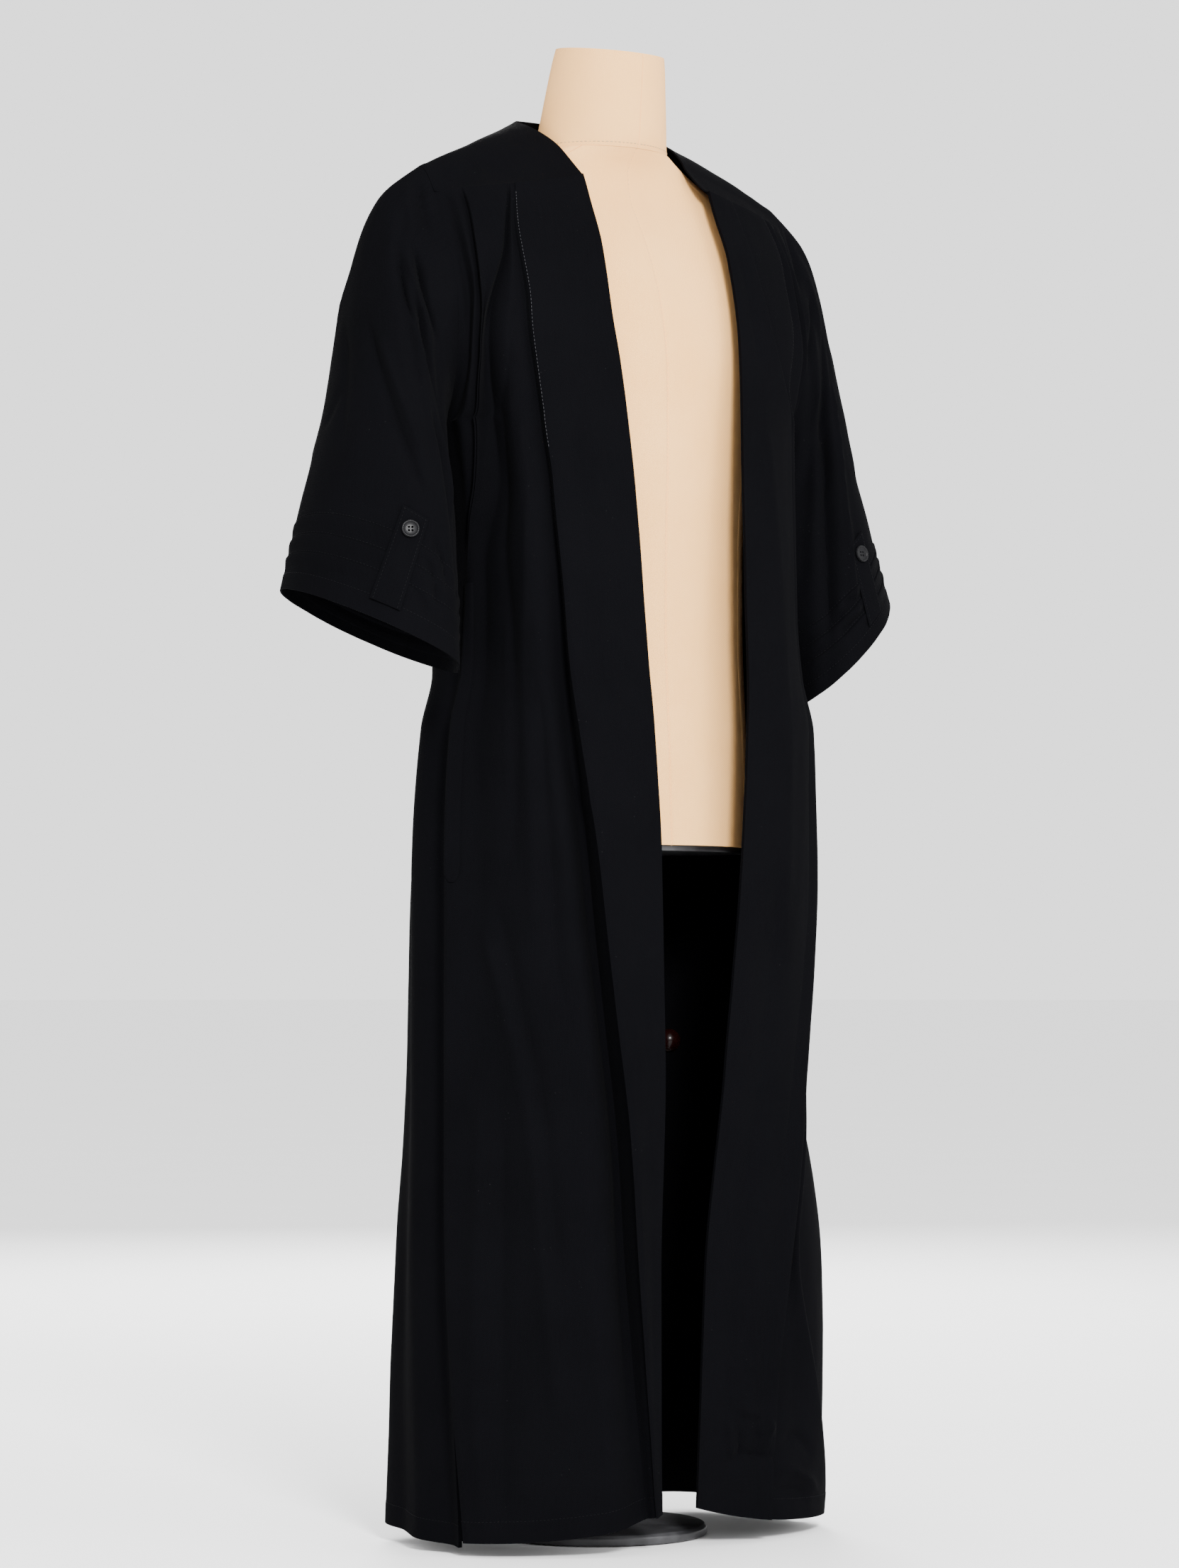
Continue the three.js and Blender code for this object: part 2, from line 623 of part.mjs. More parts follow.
function yokeGeometry() {
  const stops = [0, 0.35, 0.7, 1, 1.3, 1.65, 2, 2.25, 2.5, 2.75, 3];
  const stations = [
    ...stops.map((along) => [RIGHT, along]),
    ...stops.slice(0, -1).reverse().map((along) => [LEFT, along]),
  ];
  const rows = stations.map(([side, along]) => yokeRow(side, along));
  const outer = rows.map((row) => row.points);
  const guides = rows.map((row) => row.guides);
  const normals = gridNormals(outer, guides);
  stations.forEach(([, along], r) => {
    if (along === 0) normals[r] = guides[r];
    if (along >= 2) normals[r][YOKE_STEPS] = guides[r][YOKE_STEPS];
  });
  return wallGeometry(outer, movedIn(outer, normals, CLOTH));
}

// How far a sleeve's cloth stands off its ring at a place: soft folds and the stepped tucks.
function sleeveStand(at, psi) {
  let stand = 0;
  const part = at < 0.5 ? at * 2 : at * 2 - 1;
  for (const fold of SLEEVE_FOLDS) {
    const names = at < 0.5 ? ["head", "middle"] : ["middle", "rim"];
    const centre = mix(fold[names[0]], fold[names[1]], part);
    const depth = mix(fold["depth_" + names[0]], fold["depth_" + names[1]], part);
    const away = (THREE.MathUtils.euclideanModulo(psi - centre + 180, 360) - 180) / fold.width;
    stand += depth * Math.exp(-away * away);
  }
  const grow = THREE.MathUtils.smoothstep(at, 0, 0.12);
  const soften = 1 - 0.6 * THREE.MathUtils.smoothstep(at, 0.7, 0.8);
  return stand * grow * soften;
}

function tuckStep(at) {
  let step = 0;
  for (const tuck of TUCKS_AT) if (at > tuck + TUCK_EDGE / 2) step = tuck;
  if (!step) return 0;
  return TUCK_DEPTH * (1 - THREE.MathUtils.clamp((at - step) / TUCK_FADE, 0, 1));
}

function sleeveRows() {
  const plain = [0, 0.05, 0.11, 0.18, 0.26, 0.35, 0.45, 0.55, 0.65, 0.73, 0.8];
  const tucks = TUCKS_AT.flatMap((at) => [at, at + TUCK_EDGE]);
  return [...plain, ...tucks, 0.965, 1];
}

// Outward direction of a sleeve's ring at a place, from two small steps on its surface.
function sleeveNormal(side, at, psi) {
  const step = 0.01;
  const here = Math.min(Math.max(at, step), 1 - step);
  const along = ringPoint(side, here + step, psi).sub(ringPoint(side, here - step, psi));
  const around = ringPoint(side, here, psi + 2).sub(ringPoint(side, here, psi - 2));
  const normal = around.cross(along).normalize();
  const centre = ringPoint(side, here, 0).add(ringPoint(side, here, 180)).multiplyScalar(0.5);
  return normal.dot(ringPoint(side, here, psi).sub(centre)) < 0 ? normal.negate() : normal;
}

function sleeveSurface(side, at, psi) {
  const normal = sleeveNormal(side, at, psi);
  const stand = sleeveStand(at, psi);
  return { point: ringPoint(side, at, psi).addScaledVector(normal, stand), normal };
}

function sleeveGeometry(side) {
  const outer = [];
  const guides = [];
  for (const at of sleeveRows()) {
    const row = [];
    const normals = [];
    for (let c = 0; c < SLEEVE_COLUMNS; c++) {
      const psi = (360 * c) / SLEEVE_COLUMNS;
      const { point, normal } = sleeveSurface(side, at, psi);
      point.addScaledVector(normal, tuckStep(at));
      if (at === 0) point.x += side * SEAM;
      row.push(point);
      normals.push(normal);
    }
    outer.push(row);
    guides.push(normals);
  }
  const tilt = radians(ARMHOLE.tilt);
  const axis = new THREE.Vector3(side * Math.sin(tilt), 0, -Math.cos(tilt));
  const normals = gridNormals(outer, guides, true);
  normals[0] = normals[0].map((n) => n.addScaledVector(axis, -n.dot(axis)).normalize());
  return wallGeometry(outer, movedIn(outer, normals, CLOTH), true);
}

// The tab is a strip of the sleeve's own points, moved out past the tucks.
function tabPoint(side, across, along) {
  const { top, bottom, psiTop, psiBottom } = TAB[sideName(side)];
  const psi = mix(psiTop, psiBottom, along) + across * TAB_HALF_WIDTH;
  return sleeveSurface(side, mix(top, bottom, along), psi);
}

function tabGeometry(side) {
  const base = [];
  const normals = [];
  for (let r = 0; r <= 8; r++) {
    const row = [-1, -0.5, 0, 0.5, 1].map((across) => tabPoint(side, across, r / 8));
    base.push(row.map(({ point }) => point));
    normals.push(row.map(({ normal }) => normal));
  }
  const inside = SEAM + TUCK_DEPTH;
  return wallGeometry(
    movedIn(base, normals, -inside - BAND_CLOTH),
    movedIn(base, normals, -inside),
  );
}

const manifold = await Module();
manifold.setup();

function toSolid(geometry) {
  const plain = geometry.clone();
  plain.deleteAttribute("normal");
  plain.deleteAttribute("uv");
  const merged = mergeVertices(plain, 1e-4);
  return new manifold.Manifold(
    new manifold.Mesh({
      numProp: 3,
      vertProperties: new Float32Array(merged.getAttribute("position").array),
      triVerts: new Uint32Array(merged.getIndex().array),
    }),
  );
}

function fromSolid(solid) {
  const mesh = solid.getMesh();
  const geometry = new THREE.BufferGeometry();
  geometry.setAttribute("position", new THREE.Float32BufferAttribute(mesh.vertProperties, 3));
  geometry.setIndex([...mesh.triVerts]);
  geometry.computeVertexNormals();
  return geometry;
}

function lathe(profile, sides) {
  const points = profile.map(([radius, height]) => new THREE.Vector2(radius, height));
  return new THREE.LatheGeometry(points, sides).rotateX(Math.PI / 2);
}

// Four-hole button with a raised rim. Its flat back is at height 0.
function buttonGeometry() {
  const { radius, thickness, rim, hole, holeRing } = BUTTON;
  const profile = [
    [0, 0],
    [radius - 0.8, 0],
    [radius, thickness * 0.5],
    [radius - 0.5, thickness],
    [radius - rim, thickness],
    [radius - rim - 1, thickness * 0.6],
    [0, thickness * 0.6],
  ];
  let solid = toSolid(lathe(profile, 20));
  for (let i = 0; i < 4; i++) {
    const turn = Math.PI / 4 + (i * Math.PI) / 2;
    const cutter = new THREE.CylinderGeometry(hole, hole, thickness * 4, 6).rotateX(Math.PI / 2);
    cutter.translate(holeRing * Math.cos(turn), holeRing * Math.sin(turn), 0);
    solid = solid.subtract(toSolid(cutter));
  }
  return fromSolid(solid);
}

// A closed body through plan rings, with a vertex at the middle of each end.
function loftGeometry(rows, tilt = () => 0) {
  const positions = [];
  const index = [];
  for (const row of rows)
    for (let c = 0; c < ROUND_SIDES; c++) {
      const turn = (2 * Math.PI * c) / ROUND_SIDES;
      const y = -(Math.cos(turn) > 0 ? row.front : row.back) * Math.cos(turn);
      positions.push(row.half * Math.sin(turn), row.y + y, row.z + tilt(row, y));
    }
  const first = rows[0];
  const last = rows[rows.length - 1];
  positions.push(0, first.y, first.z + tilt(first, 0), 0, last.y, last.z + tilt(last, 0));
  const bottom = rows.length * ROUND_SIDES;
  const top = (rows.length - 1) * ROUND_SIDES;
  for (let c = 0; c < ROUND_SIDES; c++) {
    const next = (c + 1) % ROUND_SIDES;
    for (let r = 0; r < rows.length - 1; r++) {
      const low = r * ROUND_SIDES;
      const high = low + ROUND_SIDES;
      index.push(low + c, low + next, high + next, low + c, high + next, high + c);
    }
    index.push(bottom, next, c, bottom + 1, top + c, top + next);
  }
  const geometry = new THREE.BufferGeometry();
  geometry.setAttribute("position", new THREE.Float32BufferAttribute(positions, 3));
  geometry.setIndex(index);
  return facingOut(geometry);
}

function neckGeometry() {
  const top = NECK[NECK.length - 1].z;
  const base = NECK[0].z;
  return loftGeometry(NECK, (row, y) => (NECK_TOP_SLOPE * y * (row.z - base)) / (top - base));
}

function plateGeometry() {
  const { half, front, back, y } = TORSO[0];
  const ring = { half: half - PLATE.inset, front: front - PLATE.inset, back: back - PLATE.inset, y };
  const top = TORSO[0].z - SEAM;
  return loftGeometry([{ ...ring, z: top - PLATE.thickness }, { ...ring, z: top }]);
}

function poleGeometry() {
  const bottom = BASE.thickness + SEAM;
  const top = TORSO[0].z - PLATE.thickness - 2 * SEAM;
  const pole = new THREE.CylinderGeometry(POLE_RADIUS, POLE_RADIUS, top - bottom, 24);
  return pole.rotateX(Math.PI / 2).translate(0, 0, (top + bottom) / 2);
}

function baseGeometry() {
  const { radius, thickness, edge } = BASE;
  const profile = [
    [0, 0],
    [radius, 0],
    [radius, thickness - edge],
    [radius - edge, thickness],
    [0, thickness],
  ];
  return lathe(profile, ROUND_SIDES);
}

// Height clamp: a collar round the pole, a short screw and a ball knob.
function knobGeometry() {
  const inner = POLE_RADIUS + SEAM;
  const half = KNOB.collarHeight / 2;
  const ring = [
    [inner, -half],
    [KNOB.collar, -half],
    [KNOB.collar, half],
    [inner, half],
    [inner, -half],
  ];
  const reach = Math.hypot(KNOB.x, KNOB.y);
  const start = KNOB.collar - 2;
  const screw = new THREE.CylinderGeometry(KNOB.screw, KNOB.screw, reach - start, 8);
  screw.translate(0, (reach + start) / 2, 0);
  const ball = new THREE.SphereGeometry(KNOB.ball, 14, 9).translate(0, reach, 0);
  const arm = toSolid(screw).add(toSolid(ball));
  const turned = fromSolid(arm).rotateZ(Math.atan2(-KNOB.x, KNOB.y));
  return fromSolid(toSolid(lathe(ring, 24)).add(toSolid(turned))).translate(0, 0, KNOB.z);
}

const CLOTH_LOOK = { color: 0x141417, roughness: 0.92, metalness: 0 };
const BUTTON_LOOK = { color: 0x0b0b0d, roughness: 0.2, metalness: 0 };
const LINEN_LOOK = { color: 0xe9d2ae, roughness: 0.9, metalness: 0 };
const METAL_LOOK = { color: 0x1c1c1e, roughness: 0.45, metalness: 0.8 };
const KNOB_LOOK = { color: 0x2a0d0b, roughness: 0.15, metalness: 0 };

const group = new THREE.Group();

function addPiece(name, geometry, look) {
  const mesh = new THREE.Mesh(geometry, new THREE.MeshStandardMaterial(look));
  mesh.name = name;
  group.add(mesh);
  return mesh;
}

addPiece("yoke", yokeGeometry(), CLOTH_LOOK);
addPiece("back", backGeometry(), CLOTH_LOOK);
for (const side of [RIGHT, LEFT]) {
  const name = sideName(side);
  addPiece("front_" + name, frontGeometry(side), CLOTH_LOOK);
  addPiece("front_band_" + name, bandGeometry(side), CLOTH_LOOK);
  addPiece("sleeve_" + name, sleeveGeometry(side), CLOTH_LOOK);
  addPiece("sleeve_tab_" + name, tabGeometry(side), CLOTH_LOOK);
  addPiece("pocket_welt_" + name, weltGeometry(side), CLOTH_LOOK);

  const button = addPiece("button_" + name, buttonGeometry(), BUTTON_LOOK);
  const tab = TAB[name];
  const seat = tabPoint(side, 0, (tab.button - tab.top) / (tab.bottom - tab.top));
  const stand = 2 * SEAM + TUCK_DEPTH + BAND_CLOTH;
  button.position.copy(seat.point.addScaledVector(seat.normal, stand));
  button.quaternion.setFromUnitVectors(new THREE.Vector3(0, 0, 1), seat.normal);
}
addPiece("form_torso", loftGeometry(TORSO), LINEN_LOOK);
addPiece("form_neck", neckGeometry(), LINEN_LOOK);
addPiece("form_plate", plateGeometry(), METAL_LOOK);
addPiece("stand_pole", poleGeometry(), METAL_LOOK);
addPiece("stand_knob", knobGeometry(), KNOB_LOOK);
addPiece("stand_base", baseGeometry(), METAL_LOOK);

export default group;
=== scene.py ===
# Barrister gown, worn open on a limbless dress form that stands on its own pole and base.
# The frame is in metres, +Z up, with the front towards -Y and the wearer's right towards -X.
# The pattern tables below are in millimetres. They follow the frame's cloth, with finer folds.
import math

import bmesh
import bpy
import numpy as np
from bpy.props import FloatProperty, FloatVectorProperty, PointerProperty
from mathutils import Matrix, Vector, noise


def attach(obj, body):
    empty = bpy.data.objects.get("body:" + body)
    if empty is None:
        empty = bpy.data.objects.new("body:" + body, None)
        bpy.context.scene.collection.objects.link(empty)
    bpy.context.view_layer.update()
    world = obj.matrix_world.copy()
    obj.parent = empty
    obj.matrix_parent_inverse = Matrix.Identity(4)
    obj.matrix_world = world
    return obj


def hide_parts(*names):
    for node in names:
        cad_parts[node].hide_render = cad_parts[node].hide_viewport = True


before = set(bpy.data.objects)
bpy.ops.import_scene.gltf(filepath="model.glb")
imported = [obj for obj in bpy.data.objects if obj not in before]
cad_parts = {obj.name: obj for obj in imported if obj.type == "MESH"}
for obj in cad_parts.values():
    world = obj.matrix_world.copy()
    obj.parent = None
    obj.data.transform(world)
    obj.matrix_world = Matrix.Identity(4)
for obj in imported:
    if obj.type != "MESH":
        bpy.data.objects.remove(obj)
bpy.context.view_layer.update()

bl_info = {
    "name": "Barrister gown",
    "version": (1, 0, 0),
    "blender": (4, 5, 0),
    "location": "View3D > Sidebar > Gown",
    "description": "Makes a barrister gown on a dress form, piece by piece, around a fixed frame",
    "category": "Object",
}

MM = 0.001
RIGHT = -1
LEFT = 1

# Heights and cloth, in millimetres
YOKE_FRONT_NECK_Z = 1315
YOKE_FRONT_ARM_Z = 1289
YOKE_BACK_SAG = 37
UNDERARM_TO_EDGE_Z = 1078
HEM_FRONT_EDGE = 36
HEM_FRONT_SIDE = 13
HEM_BACK_SIDE = 7
HEM_BACK_CENTRE = 22
HEM_FALL = 2.5
SEAM = 0.3  # gap between sewn pieces
SEAM_DROP = 0.3  # how far an edge sinks into its seam
SEAM_DROP_WIDTH = 2.2
TURNED_IN = 5  # depth of an edge turned in beside a seam
SLANT = 2.2  # how far an armhole edge reaches under the sleeve
TOP_EDGE, LEFT_EDGE, RIGHT_EDGE = np.s_[0], np.s_[:, 0], np.s_[:, -1]
HEM_DEPTH = 20
HEM_STEP = 0.45
HEM_PUCKER = 0.22
HEM_STITCHED_AT = 1.981
CUFF_HEM_AT = 0.968
TUCKS_AT = (0.852, 0.888, 0.924)
TUCK_DEPTH = 1.3
TUCK_FADE = 0.03
CUFF_PULL = 9  # how far the right cuff is drawn in beside the front
CUFF_PULL_AT, CUFF_PULL_WIDTH = 112, 23  # degrees round the sleeve
TAB_HALF_WIDTH = 9  # degrees round the sleeve
TAB = {
    RIGHT: {"top": 0.8, "bottom": 0.972, "psi_top": 49, "psi_bottom": 27, "button": 0.835},
    LEFT: {"top": 0.767, "bottom": 0.957, "psi_top": 67, "psi_bottom": 54, "button": 0.803},
}
WELT_FROM, WELT_TO = 1.14, 1.42
# Shares across the front where a welt begins and ends, at its top and at its foot
WELT_SHARES = {RIGHT: ((0.908, 0.954), (0.916, 0.972)), LEFT: ((0.796, 0.845), (0.797, 0.849))}


def table(columns, rows):
    """Named columns of a table, each as an array."""
    values = np.array(rows, dtype=float).T
    return dict(zip(columns.split(), values))


BODY = table("z right left front back square edge_right edge_left seam_right seam_left", [
    [1320, 204, 206, 64, 74, 2.0, 66, 90, 0, 0],
    [1289, 222, 222, 78, 88, 2.0, 67, 89, 0, 0],
    [1241, 233, 233, 103, 112, 2.0, 70, 88, 0, 0],
    [1180, 236, 236, 119, 126, 2.1, 71, 86, 0, 0],
    [1120, 217, 217, 130, 132, 2.2, 67, 81, 0, 0],
    [1070, 195, 195, 136, 132, 2.4, 64, 77, 0, 0],
    [1000, 184, 189, 140, 126, 2.6, 59, 74, 12, 12],
    [900, 175, 187, 144, 112, 2.7, 53, 73, 14, 14],
    [834, 174, 192, 148, 104, 2.7, 50, 72, 12, 14],
    [780, 186, 206, 150, 108, 2.7, 46, 69, 14, 16],
    [640, 198, 207, 153, 112, 2.7, 39, 58, 23, 23],
    [450, 200, 199, 156, 116, 2.7, 38, 38, 28, 28],
    [250, 206, 220, 157, 124, 2.7, 44, 16, 38, 36],
    [20, 210, 224, 154, 130, 2.7, 41, 14, 56, 44],
])
RING = "at x y z tilt thick front back turn pinch dip"
UPPER_SLEEVE = [
    [0.0, 205, 0, 1192, 85.8, 124.3, 53, 58, 0, 0.4, 0],
    [0.14, 224.5, 3, 1168, 76.8, 121, 56, 66, 0, 0.25, 0],
    [0.28, 233, 6, 1139, 70.7, 109, 60, 72, 0, 0.1, 0],
    [0.45, 238, 8, 1089, 63, 92, 70, 76, 3, 0, 1],
    [0.62, 244, 4, 1030, 54, 82, 82, 80, 9, 0, 4],
]
SLEEVE = {
    RIGHT: table(RING, UPPER_SLEEVE + [
        [0.8, 261, -7, 953, 38, 75, 90, 86, 20, 0, 14],
        [1.0, 277, -16, 866, 17, 70, 95, 92, 30, 0, 34],
    ]),
    LEFT: table(RING, UPPER_SLEEVE + [
        [0.8, 261, -7, 953, 44, 78, 88, 86, 20, 0, 14],
        [1.0, 279, -16, 868, 42, 82, 92, 90, 30, 0, 27],
    ]),
}
ARMHOLE_Z = 1192
ARMHOLE_RADIUS = 124.3
ARMHOLE_DEPTH = 55
ARMHOLE_TILT = 85.8
YOKE_PSI = math.degrees(math.acos((YOKE_FRONT_ARM_Z - ARMHOLE_Z) / ARMHOLE_RADIUS))
ARMHOLE_PULL = 0.6

# Soft folds of a sleeve: degrees round at its head, middle and rim, depths there, and width
SLEEVE_FOLDS = [
    [28, 62, 78, -2, -4, -1, 10],
    [50, 88, 104, -3, -7, -3, 11],
    [74, 118, 134, -2, -6, -5, 13],
    [-34, -58, -70, -2, -4, -2, 13],
    [-62, -98, -112, -2, -5, -3, 15],
    [8, 14, 20, -1, -2, 0, 12],
]
# Fold lines of a panel: shares across at each station down it, then how far each stands out
# at the stations below the first, where every line lies flat in the yoke's seam.
STATIONS_RIGHT = np.array([0, 0.06, 0.25, 0.5, 0.75, 1.0, 1.06, 1.14, 1.45, 1.72, 2])
FOLDS_RIGHT = np.array([
    [0, 0, 0, 0, 0, 0, 0, 0, 0, 0, 0, 0, 0, 0, 0, 0, 0, 0, 0, 0, 0],
    [0.3, 0.29, 0.27, 0.24, 0.22, 0.22, 0.22, 0.21, 0.15, 0.09, 0.015,
     1, 2, 2, 3, 2, 2, 2, 3, 3, 1],
    [0.59, 0.58, 0.53, 0.46, 0.44, 0.432, 0.432, 0.415, 0.305, 0.165, 0.05,
     1, 3, 4, 4, 5, 5, 6, 8, 7, 3],
    [0.6, 0.592, 0.543, 0.473, 0.453, 0.446, 0.446, 0.428, 0.32, 0.181, 0.075,
     0, -1, -3, -4, -4, -5, -8, -18, -16, -6],
    [0.605, 0.597, 0.555, 0.5, 0.48, 0.475, 0.475, 0.46, 0.355, 0.218, 0.13,
     0, 0, 0, 0, -1, -1, -4, -15, -14, -5],
    [0.615, 0.603, 0.57, 0.55, 0.56, 0.57, 0.58, 0.56, 0.45, 0.33, 0.3,
     0, 2, 4, 5, 4, 4, 4, 3, 3, 3],
    [0.622, 0.61, 0.592, 0.635, 0.668, 0.69, 0.73, 0.85, 0.82, 0.72, 0.62,
     -2, -4, -8, -14, -13, -11, -8, -7, -4, -5],
    [0.632, 0.62, 0.6, 0.657, 0.7, 0.722, 0.8, 0.93, 0.955, 0.965, 0.92,
     -3, -5, -9, -7, -4, -1, 3, 5, 7, 7],
    [0.645, 0.632, 0.614, 0.668, 0.706, 0.728, 0.806, 0.94, 0.965, 0.975, 0.93,
     2, 3, 4, 5, 6, 6, 6, 7, 8, 8],
    [0.75, 0.735, 0.7, 0.677, 0.711, 0.734, 0.813, 0.948, 0.972, 0.98, 0.94,
     2, 3, 2, 2.5, 4, 4, 5, 7, 8, 8],
    [0.855, 0.84, 0.787, 0.686, 0.717, 0.74, 0.82, 0.956, 0.978, 0.985, 0.95,
     2, 4, 5, 6, 6, 6, 6, 7, 8, 8],
    [0.868, 0.854, 0.802, 0.7, 0.73, 0.755, 0.838, 0.966, 0.984, 0.99, 0.96,
     -3, -3, -3, -1, 0, 0, 0, -3, -4, -4],
    [0.91, 0.9, 0.87, 0.78, 0.79, 0.81, 0.88, 0.975, 0.989, 0.993, 0.973,
     1, 3, 4, 5, 5, 4, 1, -4, -4, -4],
    [0.96, 0.955, 0.945, 0.9, 0.89, 0.9, 0.94, 0.986, 0.994, 0.997, 0.986,
     -1, -2, -3, -2, -1, 0, 0, -2, -2, -2],
    [1, 1, 1, 1, 1, 1, 1, 1, 1, 1, 1, 0, 0, 0, 0, 0, 0, 0, 0, 0, 0],
])
STATIONS_LEFT = np.array([0, 0.06, 0.25, 0.5, 0.75, 0.95, 1.2, 1.42, 1.6, 1.75, 1.88, 2])
FOLDS_LEFT = np.array([
    [0, 0, 0, 0, 0, 0, 0, 0, 0, 0, 0, 0, 0, 0, 0, 0, 0, 0, -1, -5, -9, -13, -18],
    [0.28, 0.27, 0.23, 0.24, 0.34, 0.47, 0.5, 0.5, 0.4, 0.33, 0.27, 0.24,
     2, 5, 8, 8, 6, 5, 3, 2, 0, -2, -5],
    [0.3, 0.29, 0.25, 0.26, 0.36, 0.49, 0.52, 0.52, 0.42, 0.35, 0.29, 0.26,
     -1, -1, 0, -1, 1, 3, 3, 2, 0, -2, -4],
    [0.655, 0.645, 0.56, 0.49, 0.425, 0.545, 0.58, 0.605, 0.5, 0.425, 0.365, 0.35,
     2, 4, 5, 5, 7, 7, 8, 8, 7, 6, 4],
    [0.668, 0.66, 0.575, 0.505, 0.44, 0.56, 0.595, 0.62, 0.515, 0.44, 0.38, 0.365,
     -5, -9, -9, -6, -7, -7, -8, -8, -7, -5, -3],
    [0.71, 0.7, 0.63, 0.58, 0.56, 0.66, 0.69, 0.69, 0.56, 0.46, 0.5, 0.6,
     -3, -3, -3, -5, -6, -6, -6, -4, -2, -2, -2],
    [0.76, 0.76, 0.7, 0.67, 0.68, 0.76, 0.78, 0.77, 0.62, 0.48, 0.63, 0.86,
     2, 5, 5, 4, 3, 3, 3, 4, 7, 7, 6],
    [0.82, 0.81, 0.76, 0.73, 0.76, 0.82, 0.84, 0.83, 0.72, 0.53, 0.66, 0.885,
     -2, -4, -2, -3, -4, -4, -4, -4, -2, -2, -1],
    [0.9, 0.9, 0.88, 0.86, 0.86, 0.88, 0.88, 0.88, 0.88, 0.8, 0.84, 0.93,
     2, 8, 14, 10, 5, 5, 6, 6, 5, 5, 4],
    [0.95, 0.95, 0.95, 0.94, 0.95, 0.96, 0.975, 0.976, 0.978, 0.98, 0.98, 0.98,
     2, 4, 3, 4, 5, 6, 7, 7, 7, 6, 5],
    [1, 1, 1, 1, 1, 1, 1, 1, 1, 1, 1, 1, 0, 0, 0, 0, 0, 0, 0, 0, 0, 0, 0],
])
STATIONS_BACK = np.array([0, 0.5, 1.2, 1.6, 2])
FOLDS_BACK = np.array([
    [0, 0, 0, 0, 0, 0, 0, 0, 0],
    [0.02, 0.02, 0.02, 0.02, 0.02, -3, -5, -6, -6],
    [0.08, 0.08, 0.07, 0.07, 0.07, 3, 4, 5, 6],
    [0.15, 0.15, 0.14, 0.13, 0.13, -3, -2, -4, -5],
    [0.21, 0.21, 0.2, 0.2, 0.19, 4, 6, 8, 9],
    [0.28, 0.28, 0.28, 0.27, 0.27, -5, -6, -6, -7],
    [0.34, 0.34, 0.35, 0.35, 0.36, 5, 8, 9, 10],
    [0.41, 0.41, 0.42, 0.42, 0.43, -5, -6, -8, -9],
    [0.5, 0.5, 0.5, 0.5, 0.5, 5, 9, 10, 10],
    [0.58, 0.59, 0.58, 0.58, 0.57, -5, -7, -6, -8],
    [0.66, 0.66, 0.66, 0.65, 0.64, 5, 7, 9, 10],
    [0.72, 0.72, 0.73, 0.73, 0.73, -5, -5, -6, -7],
    [0.79, 0.79, 0.8, 0.81, 0.81, 4, 7, 8, 9],
    [0.86, 0.85, 0.86, 0.87, 0.87, -3, -3, -4, -5],
    [0.92, 0.92, 0.93, 0.93, 0.93, 3, 4, 5, 6],
    [0.98, 0.98, 0.98, 0.98, 0.98, -3, -5, -6, -6],
    [1, 1, 1, 1, 1, 0, 0, 0, 0],
])
BAND_LINE = {RIGHT: 2, LEFT: 3}
BAND_LIFT = {RIGHT: 5, LEFT: 2.5}
YOKE_RIBS = table("outer x y z rise", [
    [0, 66, -60, 1315, 0],
    [0.5, 74, -31, 1348, 2],
    [1, 80, 4, 1369, 3],
    [1.5, 75, 33, 1379, 2],
    [2, 64, 50, 1384, 0],
    [2.33, 46, 61, 1387, 2],
    [2.66, 24, 68, 1389, 3],
    [3, 0, 70, 1390, 3],
])
YOKE_NECK_RIGHT = 80
YOKE_NECK_LEFT = 84
TORSO = table("z half front back y", [
    [667, 164, 118, 104, 0],
    [760, 162, 114, 98, 0],
    [880, 158, 108, 90, 0],
    [960, 158, 109, 90, 0],
    [1050, 164, 112, 98, 0],
    [1120, 172, 112, 104, 0],
    [1180, 182, 104, 104, 0],
    [1230, 190, 88, 96, 0],
    [1265, 190, 71, 82, 0],
    [1288, 184, 57, 66, 0],
    [1305, 160, 50, 60, 0],
    [1327, 118, 48, 60, 0],
    [1347.2, 74, 62, 62, 0],
])
NECK = table("z half front back y", [
    [1347.5, 70, 62, 62, 0],
    [1356, 66, 64, 62, -2],
    [1378, 63, 62, 60, -6],
    [1408, 59, 59, 58, -11],
    [1436, 55, 56, 56, -16],
    [1447, 53, 54, 54, -18],
])
NECK_TOP_SLOPE = 0.15
LOFT_STEP = 9  # most height between two rows of the form
GROOVE_DEPTH, GROOVE_WIDTH = 0.012, 0.35  # share of the radius, and degrees
LINEN_MAP_RADIUS = 150
LINEN_STITCH = (4.2, 2.8, 0.35)  # pitch, length and thread radius
PLATE = {"thickness": 5, "inset": 6}
BASE = {"radius": 105, "thickness": 10}
POLE_RADIUS = 12.5
KNOB = {"z": 478, "x": 55, "y": -40, "ball": 11.7, "collar": 20, "height": 32, "screw": 4}
BUTTON = {"radius": 8.5, "thickness": 3.2, "rim": 1.6, "hole": 1.1, "ring": 2.3, "stand": 3.3}

# The studio, in metres and degrees: name, place, size and power of each light, then the camera
LIGHTS = (
    ("key", (-1.6, -3.9, 2.7), 1.0, 440),
    ("fill", (1.8, -3.6, 1.5), 1.4, 40),
    ("rim", (2.0, 3.4, 2.5), 1.8, 270),
)
LIT_HEIGHT = 0.85
SKY = 1.9
FLOOR_RADIUS = 60000  # in millimetres
CAMERA = {
    "lens": 100.8, "direction": (-0.595, -0.804, 0), "distance": 4.3, "eye": 0.555,
    "pitch": 2.32, "yaw": 0.125,
}

